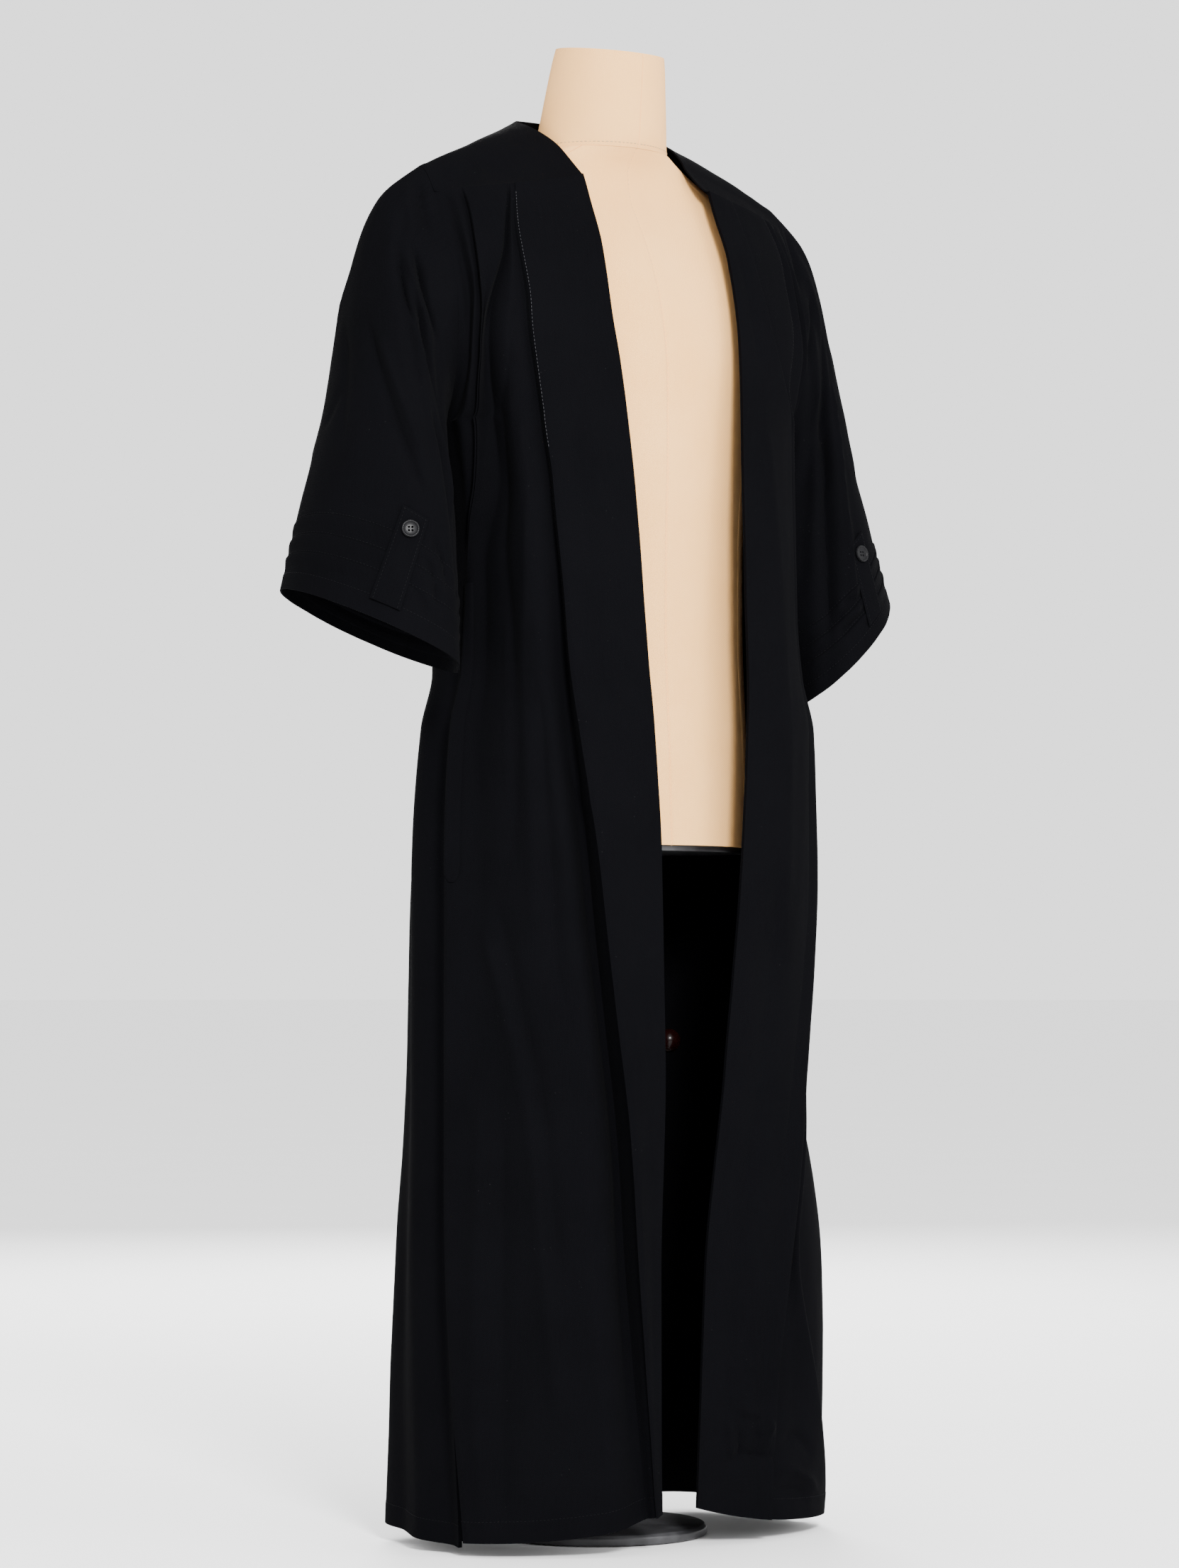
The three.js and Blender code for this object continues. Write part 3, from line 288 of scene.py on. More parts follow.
# How much higher the creases stand in hung cloth than the heights below
CREASE_DEPTH = 1.6
CREASE_SHARPNESS = 1.35
CREASE_TAPER = 40  # the most of a crease's ends, in millimetres, over which it dies out
FROM_SEAM = 0.02  # a crease that begins above this starts in the seam at its full height

# Creases of each piece: height (minus for a valley) and width in millimetres, then the pairs of the
# points it runs through. On a panel a point is share across and how far down, on a sleeve degrees
# round and how far along.
CREASES_RIGHT = [
    (-2.6, 9, 0.985, 0.12, 0.965, 0.35, 0.948, 0.55),
    (-3.2, 10, 0.49, 0.44, 0.55, 0.62, 0.58, 0.8, 0.62, 1.0, 0.67, 1.2, 0.69, 1.42),
    (2.2, 10, 0.56, 0.9, 0.57, 1.1, 0.6, 1.3, 0.6, 1.48),
    (-2.8, 9, 0.54, 1.24, 0.52, 1.38, 0.49, 1.54),
    (1.0, 2.2, 0.7, 1.16, 0.69, 1.3, 0.685, 1.44),
    (3.2, 9, 0.83, 1.45, 0.72, 1.53, 0.63, 1.62, 0.56, 1.78, 0.52, 1.9),
    (-2.8, 9, 0.77, 1.42, 0.66, 1.52, 0.57, 1.62, 0.5, 1.78),
    (-2.2, 4, 0.43, 1.32, 0.39, 1.335, 0.34, 1.362),
    (-1.8, 12, 0.3, 1.0, 0.27, 1.2, 0.22, 1.35),
    (1.6, 16, 0.2, 0.6, 0.22, 0.9, 0.19, 1.15),
    (-1.5, 9, 0.12, 0.3, 0.15, 0.55, 0.14, 0.75),
    (2.2, 14, 0.42, 1.62, 0.37, 1.8, 0.3, 2.0),
    (-2.4, 11, 0.74, 1.62, 0.75, 1.8, 0.78, 2.0),
    (2.0, 10, 0.84, 1.6, 0.86, 1.8, 0.86, 2.0),
]
CREASES_LEFT = [
    (1.8, 16, 0.2, 0.9, 0.3, 1.2, 0.32, 1.5),
    (-2.0, 12, 0.12, 0.2, 0.13, 0.5, 0.16, 0.8),
    (-2.0, 16, 0.26, 1.4, 0.18, 1.7, 0.12, 1.95),
    (1.3, 5, 0.03, 1.716, 0.2, 1.722, 0.4, 1.716),
    (1.3, 5, 0.05, 1.858, 0.2, 1.862, 0.35, 1.856),
    (2.6, 5, 0.18, 1.908, 0.25, 1.903, 0.32, 1.908),
    (-2.4, 5, 0.2, 1.918, 0.205, 1.93, 0.21, 1.95),
    (2.6, 5, 0.27, 1.924, 0.31, 1.918, 0.36, 1.914),
    (3.0, 6, 0.35, 1.96, 0.48, 1.953, 0.6, 1.963, 0.74, 1.985),
    (-3.0, 6, 0.1, 1.957, 0.26, 1.943, 0.41, 1.944),
    (2.2, 5, 0.15, 1.91, 0.155, 1.93, 0.16, 1.955),
    (-2.4, 5, 0.36, 1.976, 0.5, 1.973, 0.64, 1.98),
    (-2.6, 6, 0.42, 1.93, 0.52, 1.924, 0.65, 1.945),
    (2.2, 5, 0.29, 1.955, 0.325, 1.93, 0.34, 1.895),
]
CREASES_BACK = [
    (-2.0, 14, 0.12, 0.05, 0.13, 0.6, 0.15, 1.2),
    (2.0, 12, 0.25, 0.0, 0.245, 0.5, 0.24, 1.1, 0.23, 1.6),
    (-1.8, 10, 0.31, 0.0, 0.315, 0.4, 0.32, 0.9),
    (1.8, 11, 0.38, 0.02, 0.385, 0.7, 0.39, 1.3),
    (-2.2, 12, 0.455, 0.0, 0.46, 0.6, 0.465, 1.4, 0.46, 1.9),
    (-2.0, 12, 0.545, 0.0, 0.54, 0.5, 0.545, 1.3),
    (1.8, 10, 0.62, 0.0, 0.62, 0.6, 0.61, 1.2, 0.6, 1.8),
    (-2.0, 12, 0.7, 0.0, 0.69, 0.5, 0.7, 1.0),
    (2.0, 12, 0.76, 0.0, 0.76, 0.6, 0.765, 1.3),
    (-2.0, 14, 0.88, 0.1, 0.87, 0.6, 0.85, 1.2),
    (-2.4, 16, 0.05, 0.85, 0.12, 1.02, 0.2, 1.2),
    (-2.4, 16, 0.95, 0.85, 0.88, 1.02, 0.8, 1.2),
    (-2.2, 16, 0.3, 1.25, 0.31, 1.6, 0.3, 1.95),
    (2.0, 16, 0.53, 1.5, 0.54, 1.75, 0.55, 2.0),
    (-2.2, 15, 0.77, 1.3, 0.76, 1.65, 0.77, 2.0),
]
SLEEVE_CREASES = {
    RIGHT: [
        (-3.0, 6, 18, 0.03, 40, 0.058, 62, 0.078),
        (2.6, 9, 14, 0.05, 34, 0.11, 56, 0.13),
        (-3.8, 7, 44, 0.178, 56, 0.166, 70, 0.2, 84, 0.217, 102, 0.193),
        (2.4, 8, 46, 0.225, 66, 0.255, 88, 0.28),
        (-2.8, 7, 36, 0.21, 54, 0.34, 72, 0.375),
        (-3.4, 7, 7, 0.44, 14, 0.5, 27, 0.6, 41, 0.683, 53, 0.737, 64, 0.78),
        (2.2, 8, 20, 0.46, 36, 0.57, 52, 0.66, 68, 0.72),
        (-2.2, 7, -22, 0.44, -11, 0.56, -9, 0.653, -4, 0.745),
        (-1.8, 6, -12, 0.6, -22, 0.645, -33, 0.69),
        (-3.6, 11, 60, 0.24, 82, 0.33, 104, 0.44, 120, 0.56),
        (2.8, 10, 60, 0.31, 80, 0.45, 96, 0.57, 106, 0.71),
        (-3.2, 10, 76, 0.5, 88, 0.65, 94, 0.8, 96, 0.95),
        (-2.6, 4.5, 54, 0.83, 62, 0.826, 70, 0.85, 74, 0.9),
        (-2.4, 4.5, 49, 0.876, 56, 0.87, 62, 0.9, 64, 0.952),
        (-2.0, 4.5, 42, 0.92, 49, 0.93, 55, 0.962),
        (-2.8, 12, -40, 0.08, -66, 0.2, -98, 0.34),
        (2.4, 12, -30, 0.3, -48, 0.5, -58, 0.75),
        (-2.8, 12, -80, 0.4, -92, 0.62, -100, 0.85),
    ],
    LEFT: [
        (-2.8, 6, 24, 0.03, 46, 0.055, 70, 0.075),
        (-3.2, 8, 50, 0.16, 72, 0.17, 100, 0.15),
        (-3.2, 10, 50, 0.24, 68, 0.36, 84, 0.48),
        (3.0, 7, 54, 0.4, 64, 0.55, 71, 0.7, 74, 0.85, 72, 0.96),
        (-6.0, 15, 86, 0.34, 95, 0.52, 100, 0.72, 102, 0.92),
        (-3.0, 5, 90, 0.852, 78, 0.872, 65, 0.903),
        (2.4, 5, 92, 0.88, 78, 0.897, 67, 0.912),
        (-3.0, 5, 96, 0.905, 80, 0.917, 63, 0.922),
        (2.0, 12, 26, 0.35, 36, 0.55, 42, 0.72),
        (-2.8, 12, -40, 0.08, -66, 0.2, -98, 0.34),
        (2.4, 12, -34, 0.32, -50, 0.52, -60, 0.75),
        (-2.8, 12, -76, 0.42, -88, 0.64, -96, 0.88),
    ],
}

SURFACES = {}


def side_name(side):
    return "right" if side < 0 else "left"


def smoothstep(value, low, high):
    x = np.clip((value - low) / (high - low), 0, 1)
    return x * x * (3 - 2 * x)


def mix(a, b, share):
    return a + (b - a) * share


def smooth_curve(x, y, at):
    """Smooth curve through the points x, y that never runs past them. y may hold rows of curves."""
    if x[0] > x[-1]:
        x, y = x[::-1], y[..., ::-1]
    secant = np.diff(y, axis=-1) / np.diff(x)
    before = np.concatenate((secant[..., :1], secant), axis=-1)
    after = np.concatenate((secant, secant[..., -1:]), axis=-1)
    total = np.where(before + after == 0, 1, before + after)
    slope = np.where(before * after > 0, 2 * before * after / total, 0)
    i = np.clip(np.searchsorted(x, at, side="right") - 1, 0, len(x) - 2)
    span = x[i + 1] - x[i]
    f = np.clip((at - x[i]) / span, 0, 1)
    rise = f * f * (3 - 2 * f)
    ends = y[..., i] * (1 - rise) + y[..., i + 1] * rise
    return ends + span * (slope[..., i] * f * (1 - f) ** 2 - slope[..., i + 1] * f * f * (1 - f))


def body_at(z, column):
    return smooth_curve(BODY["z"], BODY[column], z)


def stack(x, y, z):
    return np.stack(np.broadcast_arrays(x, y, z), axis=-1).astype(float)


def unit(vectors):
    length = np.linalg.norm(vectors, axis=-1, keepdims=True)
    return vectors / np.where(length == 0, 1, length)


def body_plan(z, bearing):
    """Points and outward normals of the body's plan at heights and bearings from the front."""
    s, c = np.sin(bearing), np.cos(bearing)
    half = np.where(s < 0, body_at(z, "right"), body_at(z, "left"))
    depth = np.where(c > 0, body_at(z, "front"), body_at(z, "back"))
    n = body_at(z, "square")
    radius = ((np.abs(s) / half) ** n + (np.abs(c) / depth) ** n) ** (-1 / n)
    normal_x = np.sign(s) * (np.abs(radius * s) / half) ** (n - 1) / half
    normal_y = -np.sign(c) * (np.abs(radius * c) / depth) ** (n - 1) / depth
    return stack(radius * s, -radius * c, z), unit(stack(normal_x, normal_y, 0))


def front_edge_bearing(side, z):
    name = side_name(side)
    x = body_at(z, "edge_" + name)
    n = body_at(z, "square")
    y = body_at(z, "front") * (1 - (x / body_at(z, name)) ** n) ** (1 / n)
    return side * np.arctan2(x, y)


def side_seam_point(side, z):
    name = side_name(side)
    y = body_at(z, "seam_" + name)
    n = body_at(z, "square")
    x = body_at(z, name) * (1 - (y / body_at(z, "front")) ** n) ** (1 / n)
    return stack(side * x, -y, z)


def ring_point(side, at, psi):
    """Points of a sleeve's rings: psi is 0 at the shoulder, 90 at the front, 180 underneath."""
    rows = SLEEVE[side]
    of = {name: smooth_curve(rows["at"], rows[name], at) for name in RING.split()[1:]}
    tilt, turn = np.radians(of["tilt"]), np.radians(of["turn"])
    c, s = np.cos(np.radians(psi)), np.sin(np.radians(psi))
    out = of["thick"] * c
    across = np.where(s > 0, of["front"], of["back"]) * s * (1 - of["pinch"] * np.maximum(c, 0))
    return stack(
        side * (of["x"] + out * np.cos(turn) * np.cos(tilt) - across * np.sin(turn)),
        of["y"] - out * np.sin(turn) * np.cos(tilt) - across * np.cos(turn),
        of["z"] + out * np.sin(tilt) - of["dip"] * s,
    )


def bearing_of(point):
    return np.arctan2(point[..., 0], -point[..., 1])


def panel_side(side, facing, t):
    """Outer edge of a panel: down the armhole for t 0 to 1, then down the side seam to t 2."""
    t = np.asarray(t, dtype=float)
    hem = HEM_FRONT_SIDE if facing > 0 else HEM_BACK_SIDE
    arm = ring_point(side, np.zeros_like(t), facing * mix(YOKE_PSI, 180, np.minimum(t, 1)))
    seam = side_seam_point(side, mix(ARMHOLE_Z - ARMHOLE_RADIUS, hem, np.maximum(t - 1, 0)))
    return np.where((t <= 1)[..., None], arm, seam)


def side_bearing(side, facing, t, nearness):
    """Bearing that a panel's side edge counts as, from far inside the panel to the edge itself."""
    seam = panel_side(side, facing, t)
    top, bottom = panel_side(side, facing, 0.0), panel_side(side, facing, 1.0)
    down = np.clip((top[2] - seam[..., 2]) / (top[2] - bottom[2]), 0, 1)
    straight = mix(bearing_of(top), bearing_of(bottom), down)
    real = bearing_of(seam)
    blended = mix(straight, real, smoothstep(nearness, ARMHOLE_PULL, 1))
    return np.where(t >= 1, real, blended)


def front_base(side, share, t):
    edge_z = np.where(
        t <= 1,
        mix(YOKE_FRONT_NECK_Z, UNDERARM_TO_EDGE_Z, np.minimum(t, 1)),
        mix(UNDERARM_TO_EDGE_Z, HEM_FRONT_EDGE, np.maximum(t - 1, 0)),
    )
    seam = panel_side(side, 1, t)
    rest = 1 - share
    fall = np.maximum(t - 1, 0) * (HEM_FRONT_EDGE - HEM_FRONT_SIDE) * (rest - rest ** HEM_FALL)
    z = mix(edge_z, seam[..., 2], share) - fall
    start = front_edge_bearing(side, edge_z)
    bearing = mix(start, side_bearing(side, 1, t, share), share)
    point, normal = body_plan(z, bearing)
    end, _ = body_plan(seam[..., 2], bearing_of(seam))
    return point + (seam - end) * smoothstep(share, 0.5, 1)[..., None], normal


def back_base(share, t):
    right, left = panel_side(RIGHT, -1, t), panel_side(LEFT, -1, t)
    bow = 4 * share * (1 - share)
    above = -YOKE_BACK_SAG * (1 - np.minimum(t, 1)) ** 2
    below = (HEM_BACK_CENTRE - HEM_BACK_SIDE) * np.maximum(t - 1, 0)
    z = mix(right[..., 2], left[..., 2], share) + (above + below) * bow
    start = side_bearing(RIGHT, -1, t, 1 - share)
    finish = side_bearing(LEFT, -1, t, share) - 2 * math.pi
    point, normal = body_plan(z, mix(start, finish, share))
    for seam, nearness in ((right, 1 - share), (left, share)):
        end, _ = body_plan(seam[..., 2], bearing_of(seam))
        point = point + (seam - end) * smoothstep(nearness, 0.75, 1)[..., None]
    return point, normal


def section(stations, folds, k, t):
    """Shares and stands of a panel's sections between its fold lines, for rows t and columns k."""
    lines, count = np.arange(len(folds)), len(stations)
    share = smooth_curve(stations, folds[:, :count], t).T
    stands = np.concatenate((np.zeros((len(folds), 1)), folds[:, count:]), axis=1)
    out = smooth_curve(stations, stands, t).T
    return smooth_curve(lines, share, k), smooth_curve(lines, out, k)


def fold_columns(stations, folds, width, spacing):
    """Column places between fold lines, close enough for creases and no wider than spacing."""
    columns = [0.0]
    for i in range(len(folds) - 1):
        widest = np.max((folds[i + 1] - folds[i])[:len(stations)]) * width
        steps = max(4, math.ceil(widest / spacing))
        columns += [i + (j + 1) / steps for j in range(steps)]
    return np.array(columns)


def panel_rows():
    upper = np.linspace(0, 1, 58)
    lower = np.linspace(1, 1.88, 141)[1:]
    crumpled = np.linspace(1.88, 1.965, 35)[1:]
    hem = np.linspace(1.965, 2, 15)[1:]
    return np.concatenate((upper, lower, crumpled, hem))


def grid_normals(grid, guide, wrap=False):
    """Normals of a grid from its neighbours, on the side that the guide directions point to."""
    if wrap:
        across = np.roll(grid, -1, axis=1) - np.roll(grid, 1, axis=1)
    else:
        across = np.gradient(grid, axis=1)
    down = np.gradient(grid, axis=0)
    normal = unit(np.cross(unit(across), unit(down)))
    flip = np.sum(normal * guide, axis=-1, keepdims=True) < 0
    return np.where(flip, -normal, normal)


def spread(grid):
    """How far each point of a grid lies along its row and down its column, in millimetres."""
    across = np.linalg.norm(np.diff(grid, axis=1), axis=-1)
    down = np.linalg.norm(np.diff(grid, axis=0), axis=-1)
    u = np.concatenate((np.zeros((len(grid), 1)), np.cumsum(across, axis=1)), axis=1)
    v = np.concatenate((np.zeros((1, grid.shape[1])), np.cumsum(down, axis=0)), axis=0)
    return u, v


def crease_height(creases, u, v, place):
    """How far the creases push each point out. place turns a crease's own points into u and v."""
    height = np.zeros_like(u)
    for rise, width, *points in creases:
        path = np.array([place(*point) for point in zip(points[::2], points[1::2])])
        steps = np.linalg.norm(np.diff(path, axis=0), axis=1)
        along = np.concatenate(([0], np.cumsum(steps)))
        length = along[-1]
        fine = np.linspace(0, length, max(8, int(length / 6)))
        line = np.stack([smooth_curve(along, path[:, i], fine) for i in (0, 1)], axis=1)
        best = np.full(u.shape, 1e9)
        where = np.zeros(u.shape)
        for i in range(len(line) - 1):
            start, step = line[i], line[i + 1] - line[i]
            size = np.dot(step, step)
            du, dv = u - start[0], v - start[1]
            f = np.clip((du * step[0] + dv * step[1]) / size, 0, 1)
            gap = np.hypot(du - f * step[0], dv - f * step[1])
            nearer = gap < best
            best = np.where(nearer, gap, best)
            where = np.where(nearer, fine[i] + f * (fine[i + 1] - fine[i]), where)
        taper = min(0.35 * length, CREASE_TAPER)
        ends = 1 - smoothstep(where, length - taper, length)
        if points[1] > FROM_SEAM:
            ends = smoothstep(where, 0, taper) * ends
        height += rise * CREASE_DEPTH * ends * np.exp(-(np.abs(best / width) ** CREASE_SHARPNESS))
    return height


def unevenness(u, v, seed, size=1.0):
    """Slow wandering of hung cloth: long down the cloth, short across it."""
    flat_u, flat_v = u.ravel(), v.ravel()
    values = np.empty(len(flat_u))
    for i, (a, b) in enumerate(zip(flat_u, flat_v)):
        broad = noise.noise(Vector((a / 46, b / 210, seed)))
        fine = noise.noise(Vector((a / 17, b / 62, seed + 9.3)))
        small = noise.noise(Vector((a / 7, b / 13, seed + 21.7)))
        values[i] = 1.5 * broad + 0.5 * fine + 0.12 * small
    return size * values.reshape(u.shape)


def gathers(u, v, seed, depth, fade):
    """Small irregular gathers that hang from a seam and die out below it."""
    wander = 4 * np.sin(u / 31 + seed) + 2.5 * np.sin(u / 13 + 2 * seed)
    wave = np.sin((u + wander) / 2.9) * (0.6 + 0.4 * np.sin(u / 23 + seed))
    return depth * wave * np.exp(-v / fade) * smoothstep(v, 0, 5)


def remember(name, grid, normals, columns, rows, wrap=False):
    SURFACES[name] = (grid, normals, np.asarray(columns, float), np.asarray(rows, float), wrap)


def on_surface(name, column, row, lift=0.0):
    """Point on a made piece's outer face, and the way it faces, at a column and row place."""
    grid, normals, columns, rows, wrap = SURFACES[name]
    if wrap:
        column = (column - columns[0]) % 360 + columns[0]
    c = np.clip(np.interp(column, columns, np.arange(len(columns))), 0, len(columns) - 1)
    r = np.clip(np.interp(row, rows, np.arange(len(rows))), 0, len(rows) - 1)
    count = grid.shape[1]
    c0, r0 = int(c if wrap else min(c, count - 2)), int(min(r, grid.shape[0] - 2))
    c1 = (c0 + 1) % count

    def blend(values):
        top, low = (mix(values[at, c0 % count], values[at, c1], c - c0) for at in (r0, r0 + 1))
        return mix(top, low, r - r0)

    facing = unit(blend(normals))
    return blend(grid) + facing * lift, facing


def linked(name, data):
    made = bpy.data.objects.new(name, data)
    bpy.context.scene.collection.objects.link(made)
    return made


def evaluated_mesh(item):
    """Plain mesh of an object with its modifiers applied."""
    bpy.context.view_layer.update()
    shown = item.evaluated_get(bpy.context.evaluated_depsgraph_get())
    return bpy.data.meshes.new_from_object(shown)


def mesh_object(name, points, faces, uvs=None, sharp=50):
    """Smooth-shaded mesh object from points in millimetres, with its faces turned outwards."""
    mesh = bpy.data.meshes.new(name)
    mesh.from_pydata((np.asarray(points) * MM).tolist(), [], [list(face) for face in faces])
    mesh.update()
    work = bmesh.new()
    work.from_mesh(mesh)
    if work.calc_volume(signed=True) < 0:
        bmesh.ops.reverse_faces(work, faces=work.faces)
    work.to_mesh(mesh)
    work.free()
    if uvs is not None:
        layer = mesh.uv_layers.new(name="cloth_mm")
        loops = np.empty(len(mesh.loops), dtype=int)
        mesh.loops.foreach_get("vertex_index", loops)
        layer.data.foreach_set("uv", (np.asarray(uvs)[loops] * MM).astype(np.float32).ravel())
    mesh.polygons.foreach_set("use_smooth", [True] * len(mesh.polygons))
    mesh.set_sharp_from_angle(angle=math.radians(sharp))
    return linked(name, mesh)


def wall_depth(normals, guide, thickness):
    """How far in the inner face lies along the guide, so that steep folds never cross."""
    lean = np.clip(np.sum(normals * guide, axis=-1, keepdims=True), 0.6, 1)
    return guide * thickness / lean


def turned_in(depth, *edges):
    """Depth of a wall whose seam edges are turned in, as a maker leaves cloth beside a seam."""
    deeper = depth.copy()
    for edge in edges:
        deeper[edge] = unit(depth[edge]) * TURNED_IN
    return deeper


def slanted(depth, side, edge, outer, rows, thickness):
    """Depth of a panel whose armhole edge ends slanted, under the sleeve's edge."""
    point = outer[edge]
    y, z = point[:, 1] / ARMHOLE_DEPTH ** 2, (point[:, 2] - ARMHOLE_Z) / ARMHOLE_RADIUS ** 2
    under_sleeve = unit(stack(0, y, z)) * thickness - stack(side * SLANT, 0, 0)
    cut = depth.copy()
    cut[edge] = np.where((rows <= 1)[:, None], under_sleeve, depth[edge])
    return cut


def wall_object(name, outer, depth, wrap=False):
    """Closed wall of cloth: the outer grid and the same grid moved in, joined round its edges."""
    rows, columns = outer.shape[:2]
    inner = outer - depth
    points = np.concatenate((outer.reshape(-1, 3), inner.reshape(-1, 3)))
    u, v = spread(outer)
    uvs = np.tile(np.stack((u, v), axis=-1).reshape(-1, 2), (2, 1))
    index = np.arange(rows * columns).reshape(rows, columns)
    if wrap:
        index = np.concatenate((index, index[:, :1]), axis=1)
    a, b = index[:-1, :-1].ravel(), index[1:, :-1].ravel()
    c, d = index[1:, 1:].ravel(), index[:-1, 1:].ravel()
    shift = rows * columns
    faces = [np.stack((a, b, c, d), axis=1), np.stack((a, d, c, b), axis=1) + shift]
    borders = [index[0], index[-1][::-1]]
    if not wrap:
        borders += [index[::-1, 0], index[:, -1]]
    for border in borders:
        p, q = border[:-1], border[1:]
        faces.append(np.stack((p, q, q + shift, p + shift), axis=1))
    return mesh_object(name, points, np.concatenate(faces), uvs)


def finish_piece(piece, material, slot, *nodes):
    """Gives a piece its material, ties it to the frame's body and lets it stand for its nodes."""
    piece.data.materials.clear()
    piece.data.materials.append(material)
    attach(piece, "root")
    if nodes:
        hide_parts(*nodes)
    return piece


def cloth_piece(name, node, outer, depth, made, wrap=False):
    piece = wall_object("gown_" + name, outer, depth, wrap)
    return finish_piece(piece, made["cloth"], "cloth", node)


# Materials

class Nodes:
    """Short way to add and join the nodes of one tree."""

    def __init__(self, tree):
        self.tree = tree

    def add(self, kind, values=None, **inputs):
        node = self.tree.nodes.new(kind)
        for name, value in (values or {}).items():
            setattr(node, name, value)
        for name, value in inputs.items():
            self.set(node, name, value)
        return node

    def set(self, node, key, value):
        """Sets or joins an input. A name's underscores are spaces, and in0 is the first input."""
        if key.startswith("in") and key[2:].isdigit():
            socket = node.inputs[int(key[2:])]
        else:
            socket = node.inputs[key.replace("_", " ")]
        if isinstance(value, bpy.types.NodeSocket):
            self.tree.links.new(value, socket)
        else:
            socket.default_value = value

    def first(self, kind, values=None, **inputs):
        return self.add(kind, values, **inputs).outputs[0]

    def math(self, operation, *values):
        inputs = {"in%d" % i: value for i, value in enumerate(values)}
        return self.first("ShaderNodeMath", {"operation": operation}, **inputs)

    def ramp(self, value, low, high, start=0.0, finish=1.0):
        limits = {"in0": value, "in1": low, "in2": high, "in3": start, "in4": finish}
        return self.first("ShaderNodeMapRange", {"clamp": True}, **limits)

    def blend(self, factor, first, second):
        node = self.add("ShaderNodeMix", {"data_type": "RGBA"}, in0=factor, in6=first, in7=second)
        return node.outputs[2]

    def noise(self, place, scale, detail, **inputs):
        return self.first("ShaderNodeTexNoise", Vector=place, Scale=scale, Detail=detail, **inputs)

    def bump(self, height, strength, distance, **inputs):
        return self.first(
            "ShaderNodeBump", Height=height, Strength=strength, Distance=distance, **inputs
        )

    def place(self):
        return self.add("ShaderNodeTexCoord").outputs["Object"]

    def group(self, name, **inputs):
        tree = {"node_tree": bpy.data.node_groups[name]}
        return self.add("ShaderNodeGroup", tree, **inputs).outputs


def new_group(name, inputs, outputs, kind="ShaderNodeTree"):
    """Node group with named sockets: its tree, a node maker, and its input and output ends."""
    tree = bpy.data.node_groups.new(name, kind)
    for direction, sockets in (("INPUT", inputs), ("OUTPUT", outputs)):
        for label, kind_of_socket, *default in sockets:
            socket = tree.interface.new_socket(
                label, in_out=direction, socket_type="NodeSocket" + kind_of_socket
            )
            if default:
                socket.default_value = default[0]
    n = Nodes(tree)
    return tree, n, n.add("NodeGroupInput").outputs, n.add("NodeGroupOutput")


def woven_threads_group():
    """Crossing threads on the piece's own map: a height, and a shade that differs by thread."""
    _, n, source, end = new_group("Woven threads", [
        ("Map", "Vector"), ("Thread spacing", "Float", 0.0008), ("Unevenness", "Float", 0.3),
    ], [("Height", "Float"), ("Shade", "Float")])
    split = n.add("ShaderNodeSeparateXYZ", in0=source["Map"]).outputs
    waves = []
    for axis in (0, 1):
        turns = n.math("DIVIDE", split[axis], source["Thread spacing"])
        waves.append(n.math("SINE", n.math("MULTIPLY", turns, math.pi)))
    weave = n.math("MULTIPLY_ADD", n.math("MULTIPLY", *waves), 0.5, 0.5)
    slub = n.math("MULTIPLY", n.noise(source["Map"], 420.0, 2.0), source["Unevenness"])
    n.set(end, "Height", n.math("ADD", weave, slub))
    streaks = n.first("ShaderNodeMapping", Vector=source["Map"], Scale=(900.0, 40.0, 1.0))
    n.set(end, "Shade", n.noise(streaks, 1.0, 1.0))


def soft_wear_group():
    """Slow change of tone over a piece, and fine specks of lint, from its place in the frame."""
    _, n, source, end = new_group(
        "Soft wear", [("Patch size", "Float", 0.12), ("Lint", "Float", 0.3)],
        [("Tone", "Float"), ("Specks", "Float")],
    )
    place = n.place()
    rate = n.math("DIVIDE", 1.0, source["Patch size"])
    n.set(end, "Tone", n.noise(place, rate, 4.0, Roughness=0.6))
    dust = n.add("ShaderNodeTexVoronoi", Vector=place, Scale=160.0)
    speck = n.ramp(dust.outputs["Distance"], 0.05, 0.12, 1.0, 0.0)
    chosen = n.ramp(n.noise(place, 30.0, 1.0), 0.62, 0.7)
    n.set(end, "Specks", n.math("MULTIPLY", n.math("MULTIPLY", speck, chosen), source["Lint"]))


def new_material(name, **constants):
    """Material with one Principled shader and constant values: a node maker and the shader."""
    material = bpy.data.materials.new(name)
    material.use_nodes = True
    material.node_tree.nodes.clear()
    n = Nodes(material.node_tree)
    shader = n.add("ShaderNodeBsdfPrincipled", **constants)
    n.add("ShaderNodeOutputMaterial", in0=shader.outputs[0])
    return n, shader


def opaque(colour):
    return tuple(colour) + (1.0,)


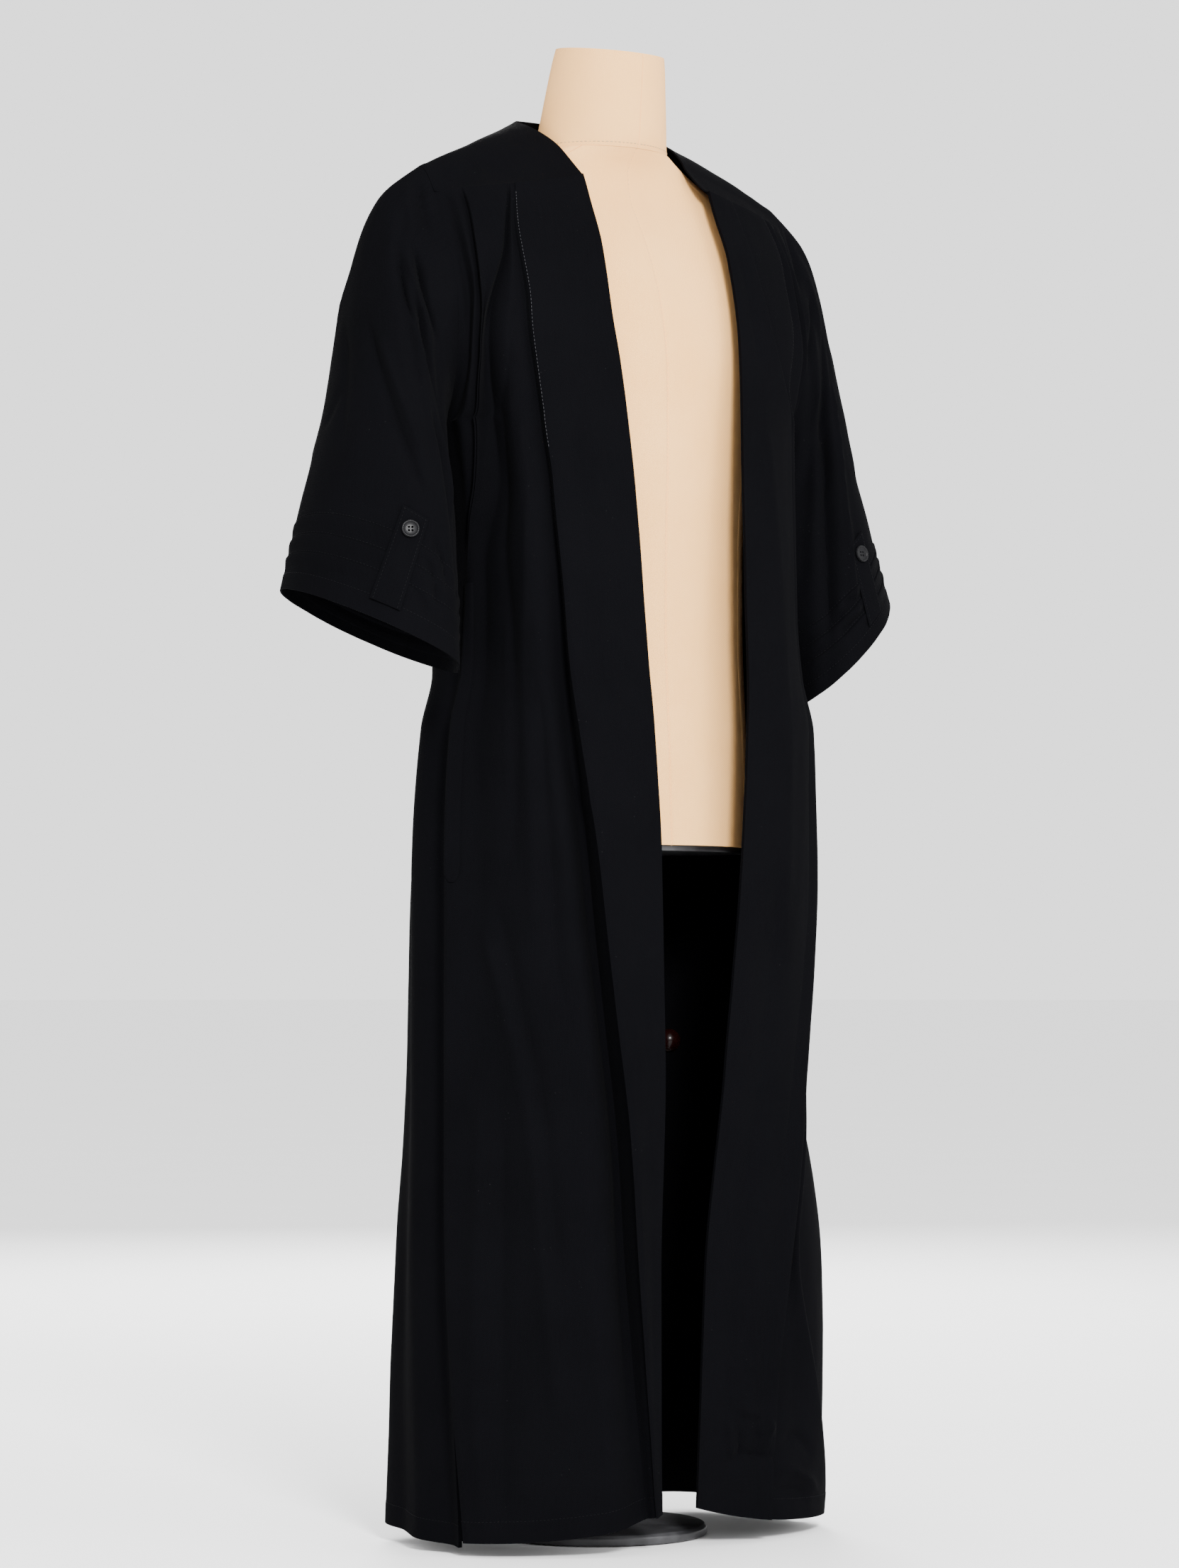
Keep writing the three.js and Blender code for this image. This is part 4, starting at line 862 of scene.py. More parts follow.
def cloth_material(name, colour, light, spacing, depth, sheen, roughness):
    """Woven cloth: threads, uneven tone, lint and a faint nap."""
    n, shader = new_material(
        name, Sheen_Weight=sheen, Sheen_Roughness=0.45, Specular_IOR_Level=0.004
    )
    cloth_map = n.first("ShaderNodeUVMap", {"uv_map": "cloth_mm"})
    threads = n.group("Woven threads", Map=cloth_map, Thread_spacing=spacing)
    wear = n.group("Soft wear", Patch_size=0.1, Lint=0.05)
    shaded = n.blend(n.ramp(wear["Tone"], 0.15, 0.85), opaque(colour), opaque(light))
    streaked = n.math("MULTIPLY", n.ramp(threads["Shade"], 0.3, 0.7), 0.35)
    threaded = n.blend(streaked, shaded, opaque(light))
    lint = opaque(min(1.0, 0.08 + c * 3) for c in light)
    n.set(shader, "Base Color", n.blend(wear["Specks"], threaded, lint))
    n.set(shader, "Roughness", n.ramp(wear["Tone"], 0.3, 0.7, roughness, roughness + 0.1))
    nap = n.bump(n.noise(cloth_map, 2600.0, 2.0), 0.35, 0.0002)
    n.set(shader, "Normal", n.bump(threads["Height"], 0.6, depth, Normal=nap))


def thread_material(name, colour):
    n, shader = new_material(name, Specular_IOR_Level=0.04)
    twist = n.noise(n.place(), 2200.0, 1.0)
    darker = opaque(c * 0.55 for c in colour)
    n.set(shader, "Base Color", n.blend(twist, darker, opaque(colour)))
    n.set(shader, "Roughness", n.ramp(twist, 0.3, 0.7, 0.6, 0.8))
    n.set(shader, "Normal", n.bump(twist, 0.5, 0.0001))


def hard_material(name, colours, patch, tone_from, roughness, skin, relief, **constants):
    """Smooth finish with faint handling marks over patches, and a fine skin."""
    n, shader = new_material(name, **constants)
    tone = n.group("Soft wear", Patch_size=patch)["Tone"]
    dark, light = map(opaque, colours)
    n.set(shader, "Base Color", n.blend(n.ramp(tone, tone_from, 0.7), dark, light))
    n.set(shader, "Roughness", n.ramp(tone, 0.3, 0.7, *roughness))
    n.set(shader, "Normal", n.bump(n.noise(n.place(), *skin), *relief))


def glossy_material(name, colours, roughness, coat, patch):
    hard_material(
        name, colours, patch, 0.35, (roughness, roughness + 0.14), (700.0, 2.0), (0.12, 0.0001),
        Specular_IOR_Level=0.08, Coat_Weight=coat, Coat_Roughness=0.08,
    )


MATERIALS = {
    "cloth": "Gown cloth", "linen": "Form linen", "black_thread": "Black thread",
    "pale_thread": "Pale thread", "linen_thread": "Linen thread", "button": "Button",
    "knob": "Knob lacquer", "paint": "Stand paint",
}


def materials(gown):
    """The finishes of the gown, made once from the sizes and colours that a user may change."""
    if "Gown cloth" not in bpy.data.materials:
        woven_threads_group()
        soft_wear_group()
        cloth_material(
            "Gown cloth", gown.cloth_colour, gown.cloth_light, gown.thread_spacing,
            0.00025, 0.0035, 0.84,
        )
        cloth_material(
            "Form linen", gown.linen_colour, gown.linen_light, gown.linen_spacing,
            0.0004, 0.08, 0.86,
        )
        thread_material("Black thread", (0.005, 0.005, 0.006))
        thread_material("Pale thread", (0.04, 0.04, 0.044))
        thread_material("Linen thread", (0.5, 0.38, 0.24))
        blacks = (0.0035, 0.0035, 0.004), (0.008, 0.008, 0.009)
        glossy_material("Button", blacks, 0.42, 0.02, 0.006)
        dark_reds = (0.003, 0.0005, 0.0004), (0.006, 0.001, 0.0009)
        glossy_material("Knob lacquer", dark_reds, 0.2, 0.08, 0.02)
        greys = (0.022, 0.022, 0.024), (0.0474, 0.0474, 0.0508)
        hard_material(
            "Stand paint", greys, 0.03, 0.4, (0.34, 0.5), (900.0, 1.0), (0.18, 0.0002),
            Metallic=0.35,
        )
    return {key: bpy.data.materials[name] for key, name in MATERIALS.items()}


# Cloth pieces

def panel_surface(base, stations, folds, k, t, creases, seed, back=False):
    """Outer grid of a panel with its folds, creases, gathers, hem and unevenness."""
    share, out = section(stations, folds, k, t)
    rows = np.broadcast_to(t[:, None], share.shape)
    sides = np.maximum(share, 1 - share) if back else share
    armpit = smoothstep(rows, 0.4, 0.75) * (1 - smoothstep(rows, 1.1, 1.3))
    calm = 1 - armpit * smoothstep(sides, *((0.76, 0.9) if back else (0.84, 0.96)))
    point, normal = base(share, rows)
    plain = point + normal * (out * calm)[..., None]
    u, v = spread(plain)
    lengths, drops = u[:, -1], v[:, v.shape[1] // 2]
    across = share * lengths[:, None]
    down = np.broadcast_to(drops[:, None], share.shape)

    def place(s, where):
        return s * np.interp(where, t, lengths), np.interp(where, t, drops)

    height = crease_height(creases, across, down, place)
    height += unevenness(across, down, seed)
    height += gathers(across, down, seed, 1.1 if back else 0.4, 70 if back else 40)
    to_seam = smoothstep(down, 0, 14)
    near_side = np.minimum(share, 1 - share) if back else 1 - share
    to_side = smoothstep(near_side * lengths[:, None], 0, 16)
    height *= to_seam * to_side * (0.35 + 0.65 * calm)
    height -= SEAM_DROP * np.exp(-((down / SEAM_DROP_WIDTH) ** 2))
    rest = drops[-1] - down
    turned = smoothstep(rest, HEM_DEPTH + 1.5, HEM_DEPTH - 0.5)
    pucker = np.sin(across / 4.2 + 2 * np.sin(across / 37))
    pucker = pucker * np.exp(-(((rest - HEM_DEPTH) / 7) ** 2))
    height += HEM_STEP * turned + HEM_PUCKER * pucker * to_side
    return plain + normal * height[..., None], normal, share


# Stations, fold lines, creases, seed of the unevenness and widest column, in millimetres
FRONT_PARTS = {
    RIGHT: (STATIONS_RIGHT, FOLDS_RIGHT, CREASES_RIGHT, 3.1, 5.0),
    LEFT: (STATIONS_LEFT, FOLDS_LEFT, CREASES_LEFT, 7.7, 4.4),
}


def make_front(side, thickness, made):
    name = side_name(side)
    stations, folds, creases, seed, spacing = FRONT_PARTS[side]
    k = fold_columns(stations, folds, 300, spacing)
    t = panel_rows()

    def base(share, rows):
        return front_base(side, share, rows)

    grid, guide, share = panel_surface(base, stations, folds, k, t, creases, seed)
    normals = grid_normals(grid, guide)
    remember("front_" + name, grid, normals, k, t)
    SURFACES["map_front_" + name] = (share, guide)
    depth = turned_in(wall_depth(normals, guide, thickness), TOP_EDGE, RIGHT_EDGE)
    depth = slanted(depth, side, RIGHT_EDGE, grid, t, thickness)
    return cloth_piece("front_" + name, "front_" + name, grid, depth, made)


def make_band(side, thickness, made):
    """The folded band on a front's edge: sewn down above, and standing off the cloth below."""
    name = side_name(side)
    grid, normals, columns, rows, _ = SURFACES["front_" + name]
    shares, guide = SURFACES["map_front_" + name]
    inside = columns <= BAND_LINE[side]
    across = shares[:, inside] / shares[:, inside][:, -1:]
    facing = unit(normals[:, inside] + guide[:, inside])
    released = (smoothstep(rows, 1, 1.4) * (1 - 0.6 * smoothstep(rows, 1.7, 2)))[:, None]
    sway = 1 + 0.25 * np.sin(9 * rows + side)[:, None]
    lift = SEAM + thickness + released * sway * BAND_LIFT[side] * across ** 2
    lift = lift - 0.5 * (1 - smoothstep(1 - across, 0, 0.03))
    band = grid[:, inside] + facing * lift[..., None]
    band_normals = grid_normals(band, facing)
    remember("front_band_" + name, band, band_normals, columns[inside] / BAND_LINE[side], rows)
    return cloth_piece("band_" + name, "front_band_" + name, band, facing * thickness, made)


def make_welt(side, made):
    """The pocket's welt: a narrow strip laid on the front, with a rounded foot."""
    name = side_name(side)
    grid, _, _, rows, _ = SURFACES["front_" + name]
    shares, guide = SURFACES["map_front_" + name]
    across = np.linspace(-1, 1, 13)
    level = np.flatnonzero((rows >= WELT_FROM) & (rows <= WELT_TO))
    along = np.linspace(-1, 1, len(level))
    (top_start, top_end), (foot_start, foot_end) = WELT_SHARES[side]
    patch, facing = [], []
    for row, place in zip(level, along):
        start = mix(top_start, foot_start, (place + 1) / 2)
        end = mix(top_end, foot_end, (place + 1) / 2)
        narrow = math.sqrt(max(0.15, 1 - (max(0, place - 0.93) / 0.072) ** 2))
        want = (start + end) / 2 + across * narrow * (end - start) / 2
        for strip, values in ((patch, grid), (facing, guide)):
            strip.append([np.interp(want, shares[row], values[row, :, i]) for i in range(3)])
    patch = np.array(patch).transpose(0, 2, 1)
    facing = unit(np.array(facing).transpose(0, 2, 1))
    round_off = (1 - 0.4 * across[None, :] ** 4) * (1 - 0.4 * np.abs(along[:, None]) ** 12)
    outer = patch + facing * (SEAM + 2.1 * round_off)[..., None]
    return cloth_piece("welt_" + name, "pocket_welt_" + name, outer, facing * 1.6, made)


def make_back(thickness, made):
    k = fold_columns(STATIONS_BACK, FOLDS_BACK, 640, 5.6)
    t = panel_rows()
    grid, guide, _ = panel_surface(
        back_base, STATIONS_BACK, FOLDS_BACK, k, t, CREASES_BACK, 5.3, back=True
    )
    normals = grid_normals(grid, guide)
    remember("back", grid, normals, k, t)
    depth = turned_in(wall_depth(normals, guide, thickness), TOP_EDGE, LEFT_EDGE, RIGHT_EDGE)
    depth = slanted(depth, RIGHT, LEFT_EDGE, grid, t, thickness)
    depth = slanted(depth, LEFT, RIGHT_EDGE, grid, t, thickness)
    return cloth_piece("back", "back", grid, depth, made)


def yoke_rib(side, along, share):
    """Points of half a yoke: from its front to the centre back, and from neck to outer edge."""
    neck_half = YOKE_NECK_LEFT if side > 0 else YOKE_NECK_RIGHT
    rib = {name: smooth_curve(YOKE_RIBS["outer"], YOKE_RIBS[name], along) for name in YOKE_RIBS}
    neck = stack(side * rib["x"] * neck_half / YOKE_NECK_RIGHT, rib["y"], rib["z"])
    arm = ring_point(side, np.zeros_like(along), mix(YOKE_PSI, -YOKE_PSI, along / 2))
    back_share = np.clip((along - 2) / 2, 0, 1)
    seam, _ = back_base(back_share if side < 0 else 1 - back_share, np.zeros_like(along))
    outer = np.where((along < 2)[..., None], arm, seam)
    point = neck + (outer - neck) * share[..., None]
    point[..., 2] += rib["rise"] * 4 * share * (1 - share)
    front, _ = front_base(side, share, np.zeros_like(share))
    near_front = (1 - np.clip(along / 0.35, 0, 1))[..., None]
    return point * (1 - near_front) + front * near_front


def make_yoke(thickness, made):
    along = np.linspace(0, 3, 96)
    share = np.linspace(0, 1, 46)
    a, s = np.meshgrid(along, share, indexing="ij")
    right, left = yoke_rib(RIGHT, a, s), yoke_rib(LEFT, a, s)
    grid = np.concatenate((right, left[::-1][1:]))
    rows = np.concatenate((along, 6 - along[::-1][1:]))
    up = np.zeros_like(grid)
    up[..., 2] = 1
    normals = grid_normals(grid, up)
    u, v = spread(grid)
    lengths = u[:, -1:]
    rest = lengths - u
    front_gap = np.minimum(v, v[-1] - v)
    edge = sum(SEAM_DROP * np.exp(-((gap / SEAM_DROP_WIDTH) ** 2)) for gap in (rest, front_gap))
    pressed = 0.25 * smoothstep(rest, 9, 7) + 0.3 * smoothstep(u, 8, 6)
    calm = smoothstep(np.minimum(np.minimum(rest, u), front_gap), 0, 14)
    height = pressed - edge + unevenness(u, v, 12.4, 0.55) * calm
    grid = grid + normals * height[..., None]
    shift = np.where(np.minimum(rows, 6 - rows)[:, None] > 0, 0.0, 0.25)
    grid[..., 2] += shift
    return cloth_piece("yoke", "yoke", grid, grid_normals(grid, up) * thickness, made)


def sleeve_stand(at, psi):
    """How far a sleeve's soft folds move its surface out or in."""
    stand = np.zeros(np.broadcast(at, psi).shape)
    for head, middle, rim, deep_head, deep_middle, deep_rim, width in SLEEVE_FOLDS:
        low, high = np.clip(at * 2, 0, 1), np.clip(at * 2 - 1, 0, 1)
        upper = mix(head, middle, low), mix(deep_head, deep_middle, low)
        lower = mix(middle, rim, high), mix(deep_middle, deep_rim, high)
        centre, depth = (np.where(at < 0.5, a, b) for a, b in zip(upper, lower))
        away = ((psi - centre + 180) % 360 - 180) / width
        stand = stand + depth * np.exp(-away * away)
    return stand * smoothstep(at, 0, 0.12) * (1 - 0.6 * smoothstep(at, 0.7, 0.8))


def sleeve_rows():
    upper = np.linspace(0, 0.84, 100)
    tucks = np.linspace(0.84, 0.96, 96)[1:]
    rim = np.linspace(0.96, 1, 22)[1:]
    return np.concatenate((upper, tucks, rim))


def sleeve_base(side, at, psi):
    """Sleeve surface with its soft folds, without tucks or creases, and its outward normal."""
    here = np.clip(at, 0.01, 0.99)
    along = ring_point(side, here + 0.01, psi) - ring_point(side, here - 0.01, psi)
    around = ring_point(side, here, psi + 2) - ring_point(side, here, psi - 2)
    normal = unit(np.cross(around, along))
    centre = (ring_point(side, here, 0 * psi) + ring_point(side, here, 0 * psi + 180)) / 2
    away = ring_point(side, here, psi) - centre
    flip = np.sum(normal * away, axis=-1, keepdims=True) < 0
    normal = np.where(flip, -normal, normal)
    stand = sleeve_stand(at, psi)
    if side == RIGHT:
        beside = np.exp(-(((psi - CUFF_PULL_AT) / CUFF_PULL_WIDTH) ** 2))
        stand = stand - CUFF_PULL * beside * smoothstep(at, 0.4, 0.8)
    return ring_point(side, at, psi) + normal * stand[..., None], normal


def tuck_step(at):
    """How far the three tucks stand out at places down a sleeve."""
    step = np.zeros_like(at)
    for tuck in TUCKS_AT:
        past = at - tuck
        fold = TUCK_DEPTH * smoothstep(past, 0, 0.002) * (1 - smoothstep(past, 0.004, TUCK_FADE))
        step = np.maximum(step, fold)
    return step


def make_sleeve(side, thickness, made):
    name = side_name(side)
    at = sleeve_rows()
    psi = np.linspace(-180, 180, 156, endpoint=False)
    a, p = np.meshgrid(at, psi, indexing="ij")
    plain, facing = sleeve_base(side, a, p)
    u, v = spread(plain)
    radius = (u[:, -1] / (2 * math.pi) * 1.006)[:, None]
    across = np.radians(p) * radius
    drop = v[:, len(psi) // 2]
    down = np.broadcast_to(drop[:, None], a.shape)

    def place(degrees, where):
        round_it = math.radians(degrees) * np.interp(where, at, radius[:, 0])
        return round_it, np.interp(where, at, drop)

    height = crease_height(SLEEVE_CREASES[side], across, down, place)
    seam_in = smoothstep(a, 0, 0.05)
    circle = radius * 1.3
    wave_x, wave_y = circle * np.cos(np.radians(p)), circle * np.sin(np.radians(p))
    wander = unevenness(wave_x + 300 * side, down, 2.2 + side)
    height += 0.55 * (wander + unevenness(wave_y, down, 4.9 + side))
    height *= seam_in
    height -= SEAM_DROP * np.exp(-((down / 2.4) ** 2))
    ripple = np.sin(across / 3.4 + np.sin(across / 19) * 3)
    near_tucks = sum(np.exp(-(((a - tuck - 0.006) / 0.009) ** 2)) for tuck in TUCKS_AT)
    height += tuck_step(a) + 0.16 * ripple * near_tucks
    height += 0.4 * smoothstep(a, CUFF_HEM_AT - 0.004, CUFF_HEM_AT)
    height += 0.2 * ripple * np.exp(-(((a - CUFF_HEM_AT) / 0.01) ** 2))
    grid = plain + facing * height[..., None]
    grid[0, :, 0] += side * SEAM
    normals = grid_normals(grid, facing, wrap=True)
    tilt = math.radians(ARMHOLE_TILT)
    axis = np.array([side * math.sin(tilt), 0, -math.cos(tilt)])
    normals[0] = unit(normals[0] - np.sum(normals[0] * axis, axis=-1, keepdims=True) * axis)
    remember("sleeve_" + name, grid, normals, psi, at, wrap=True)
    depth = normals * thickness
    depth[0, :, 0] -= side * SLANT
    return cloth_piece("sleeve_" + name, "sleeve_" + name, grid, depth, made, wrap=True)


def make_tab(side, thickness, made):
    name = side_name(side)
    tab = TAB[side]
    along = np.linspace(0, 1, 70)
    across = np.linspace(-1, 1, 22)
    r, c = np.meshgrid(along, across, indexing="ij")
    at = mix(tab["top"], tab["bottom"], r)
    psi = mix(tab["psi_top"], tab["psi_bottom"], r) + c * TAB_HALF_WIDTH
    base, facing = sleeve_base(side, at, psi)
    edge = np.maximum(np.abs(c), np.abs(2 * r - 1) ** 6)
    height = SEAM + TUCK_DEPTH + thickness - 0.45 * smoothstep(edge, 0.86, 1)
    height = height + 0.2 * np.sin(r * 11 + side) * (1 - c * c)
    grid = base + facing * height[..., None]
    normals = grid_normals(grid, facing)
    remember("tab_" + name, grid, normals, across, along)
    return cloth_piece("tab_" + name, "sleeve_tab_" + name, grid, normals * thickness, made)


# Hard pieces

def turned_points(profile, sides, closed=False):
    """Points and faces of a shape turned about Z from (radius, height) pairs."""
    points, rows = [], []
    for radius, height in profile:
        if radius == 0:
            rows.append([len(points)] * sides)
            points.append((0.0, 0.0, height))
            continue
        rows.append(list(range(len(points), len(points) + sides)))
        for i in range(sides):
            turn = 2 * math.pi * i / sides
            points.append((radius * math.cos(turn), radius * math.sin(turn), height))
    if closed:
        rows.append(rows[0])
    faces = []
    for low, high in zip(rows, rows[1:]):
        for i in range(sides):
            j = (i + 1) % sides
            faces.append(list(dict.fromkeys((low[i], low[j], high[j], high[i]))))
    return np.array(points), faces


def rounded(profile, radius, steps=4):
    """Rounds the corners of a (radius, height) profile."""
    made = [profile[0]]
    for before, corner, after in zip(profile, profile[1:], profile[2:]):
        here = Vector(corner)
        back, ahead = Vector(before) - here, Vector(after) - here
        reach = min(radius, back.length * 0.45, ahead.length * 0.45)
        start, finish = here + back.normalized() * reach, here + ahead.normalized() * reach
        for i in range(steps + 1):
            f = i / steps
            made.append(tuple(start * (1 - f) ** 2 + here * 2 * f * (1 - f) + finish * f * f))
    made.append(profile[-1])
    return made


def joined(parts):
    """Points and faces of several shapes as one list."""
    points, faces, start = [], [], 0
    for shape_points, shape_faces in parts:
        points.append(shape_points)
        faces += [[i + start for i in face] for face in shape_faces]
        start += len(shape_points)
    return np.concatenate(points), faces


def plan_loft(rows, sides, tilt=None, grooves=()):
    """Closed shape through plan sections. grooves are bearings in degrees where a seam dips in."""
    turns = set(np.linspace(0, 360, sides, endpoint=False).tolist())
    for bearing in grooves:
        turns.update((bearing + step) % 360 for step in (-0.9, -0.5, -0.2, 0, 0.2, 0.5, 0.9))
    turns = np.array(sorted(turns))
    z = np.concatenate([
        np.linspace(a, b, max(2, int(abs(b - a) / LOFT_STEP)), endpoint=False)
        for a, b in zip(rows["z"], rows["z"][1:])
    ] + [[rows["z"][-1]]])
    c, s = np.cos(np.radians(turns)), np.sin(np.radians(turns))
    dip = np.ones_like(turns)
    for bearing in grooves:
        away = (turns - bearing + 180) % 360 - 180
        dip = dip - GROOVE_DEPTH * np.exp(-((away / GROOVE_WIDTH) ** 2))
    of = {name: smooth_curve(rows["z"], rows[name], z)[:, None] for name in rows}
    y = of["y"] - np.where(c > 0, of["front"], of["back"]) * c * dip
    lift = tilt(of["z"], y - of["y"]) if tilt else 0
    grid = stack(of["half"] * s * dip, y, of["z"] + lift)
    points = grid.reshape(-1, 3).tolist()
    columns, last = len(turns), len(z) - 1
    around = [(i, (i + 1) % columns) for i in range(columns)]
    faces = []
    for low in range(0, last * columns, columns):
        faces += [[low + i, low + j, low + columns + j, low + columns + i] for i, j in around]
    for r, order in ((0, -1), (last, 1)):
        centre = len(points)
        points.append(grid[r].mean(axis=0).tolist())
        faces += [[r * columns + i, r * columns + j, centre][::order] for i, j in around]
    return np.array(points), faces, grid


def make_form(made):
    """Torso and neck, with seams in their linen."""
    base, top = NECK["z"][0], NECK["z"][-1]

    def slope(z, y):
        return NECK_TOP_SLOPE * y * (z - base) / (top - base)

    shapes = {
        "torso": plan_loft(TORSO, 104, grooves=(0, 46, 314, 134, 226, 180)),
        "neck": plan_loft(NECK, 110, slope, grooves=(0, 180)),
    }
    for name, (points, faces, grid) in shapes.items():
        round_it = np.arctan2(points[:, 0], -points[:, 1]) * LINEN_MAP_RADIUS
        plan_map = np.stack((round_it, points[:, 2]), axis=1)
        cover = mesh_object("form_%s_cover" % name, points, faces, plan_map)
        finish_piece(cover, made["linen"], "linen", "form_" + name)
        SURFACES[name + "_grid"] = grid


def clamp_shape():
    """The height clamp: a collar round the pole, and a screw that ends in a ball."""
    inner, half = POLE_RADIUS + SEAM, KNOB["height"] / 2
    outer, ball, screw = KNOB["collar"], KNOB["ball"], KNOB["screw"]
    ring = [(inner, -half), (outer, -half), (outer, half), (inner, half)]
    collar = turned_points(ring, 56, closed=True)
    reach = math.hypot(KNOB["x"], KNOB["y"])
    turns = np.linspace(math.asin(screw / ball), math.pi - 0.02, 30)
    profile = [(0, outer - 1.5), (screw, outer - 1.5)]
    profile += [(ball * math.sin(turn), reach - ball * math.cos(turn)) for turn in turns]
    arm, arm_faces = turned_points(profile + [(0, reach + ball)], 40)
    outwards = Vector((KNOB["x"], KNOB["y"], 0)).to_track_quat("Z", "Y").to_matrix()
    points, faces = joined([collar, (arm @ np.array(outwards).T, arm_faces)])
    points[:, 2] += KNOB["z"]
    return points, faces


def make_stand(made):
    top = TORSO["z"][0] - SEAM
    foot = top - PLATE["thickness"]
    plate = {
        name: np.full(2, TORSO[name][0] - PLATE["inset"]) for name in ("half", "front", "back")
    }
    plate.update(z=np.array([foot, top]), y=np.zeros(2))
    low, high = BASE["thickness"] + SEAM, foot - SEAM
    pole = [(0, low), (POLE_RADIUS, low), (POLE_RADIUS, high), (0, high)]
    wide, thick = BASE["radius"], BASE["thickness"]
    disc = [(0, 0), (wide, 0), (wide, thick - 3), (wide - 3, thick), (0, thick)]
    for name, node, shape in (
        ("form_plate_cover", "form_plate", plan_loft(plate, 96)[:2]),
        ("stand_pole_tube", "stand_pole", turned_points(rounded(pole, 0.8), 56)),
        ("stand_base_disc", "stand_base", turned_points(rounded(disc, 1.2), 128)),
    ):
        piece = mesh_object(name, *shape, sharp=35)
        finish_piece(piece, made["paint"], "stand_metal", node)
    knob = mesh_object("stand_knob_turned", *clamp_shape(), sharp=40)
    finish_piece(knob, made["knob"], "knob", "stand_knob")


def button_shape():
    """Four-hole button with a raised rim, its flat back at height 0."""
    radius, thick, rim, ring = (BUTTON[key] for key in ("radius", "thickness", "rim", "ring"))
    profile = rounded([
        (0, 0), (radius - 0.8, 0), (radius, thick * 0.5), (radius - 0.5, thick),
        (radius - rim, thick), (radius - rim - 1, thick * 0.6), (ring + 1.9, thick * 0.52),
        (0, thick * 0.5),
    ], 0.6)
    body = mesh_object("button_blank", *turned_points(profile, 64), sharp=40)
    drill, low, high = BUTTON["hole"], -2, 6
    hole, hole_faces = turned_points([(0, low), (drill, low), (drill, high), (0, high)], 20)
    cutters = []
    for i in range(4):
        turn = math.pi / 4 + i * math.pi / 2
        shift = np.array([ring * math.cos(turn), ring * math.sin(turn), 0])
        cutters.append((hole + shift, hole_faces))
    cutter = mesh_object("button_holes", *joined(cutters), sharp=40)
    cut = body.modifiers.new("holes", "BOOLEAN")
    cut.operation = "DIFFERENCE"
    cut.solver = "EXACT"
    cut.object = cutter
    shaped = evaluated_mesh(body)
    points = np.array([v.co[:] for v in shaped.vertices]) / MM
    faces = [list(p.vertices) for p in shaped.polygons]
    for spare in (body, cutter):
        bpy.data.objects.remove(spare, do_unlink=True)
    return points, faces


def make_button(side, made):
    """A button on its tab, square to the sleeve."""
    tab = TAB[side]
    along = (tab["button"] - tab["top"]) / (tab["bottom"] - tab["top"])
    psi = np.array([mix(tab["psi_top"], tab["psi_bottom"], along)])
    point, normal = sleeve_base(side, np.array([tab["button"]]), psi)
    turn = Vector(normal[0]).to_track_quat("Z", "Y").to_matrix().to_4x4()
    place = Matrix.Translation(Vector(point[0] + normal[0] * BUTTON["stand"]))
    matrix = np.array(place @ turn)
    points, faces = button_shape()
    name = side_name(side)
    placed = points @ matrix[:3, :3].T + matrix[:3, 3]
    button = mesh_object("gown_button_" + name, placed, faces, sharp=40)
    finish_piece(button, made["button"], "button", "button_" + name)


# Stitches

def stitch_tree():
    """Geometry nodes: evenly spaced thread stitches along a line of edges."""
    tree, n, source, end = new_group("Running stitches", [
        ("Line", "Geometry"), ("Pitch", "Float", 0.0034), ("Stitch length", "Float", 0.0024),
        ("Thread radius", "Float", 0.00035), ("Seed", "Int", 4), ("Thread", "Material"),
    ], [("Stitches", "Geometry")], "GeometryNodeTree")
    curve = n.first("GeometryNodeMeshToCurve", Mesh=source["Line"])
    even = n.first(
        "GeometryNodeResampleCurve", {"mode": "LENGTH"}, Curve=curve, Length=source["Pitch"]
    )
    thread = n.first("GeometryNodeMeshUVSphere", Segments=5, Rings=4, Radius=1.0)
    half = n.math("MULTIPLY", source["Stitch length"], 0.5)
    radius = source["Thread radius"]
    size = n.first("ShaderNodeCombineXYZ", X=radius, Y=radius, Z=half)
    tangent = n.first("GeometryNodeInputTangent")
    turn = n.first("FunctionNodeAlignRotationToVector", {"axis": "Z"}, Vector=tangent)
    jitter = n.add(
        "FunctionNodeRandomValue", {"data_type": "FLOAT"}, in2=0.86, in3=1.1, Seed=source["Seed"]
    )
    scale = n.first(
        "ShaderNodeVectorMath", {"operation": "SCALE"}, in0=size, Scale=jitter.outputs[1]
    )
    placed = n.first(
        "GeometryNodeInstanceOnPoints", Points=even, Instance=thread, Rotation=turn, Scale=scale
    )
    real = n.first("GeometryNodeRealizeInstances", Geometry=placed)
    painted = n.first("GeometryNodeSetMaterial", Geometry=real, Material=source["Thread"])
    n.set(end, "Stitches", painted)
    return tree


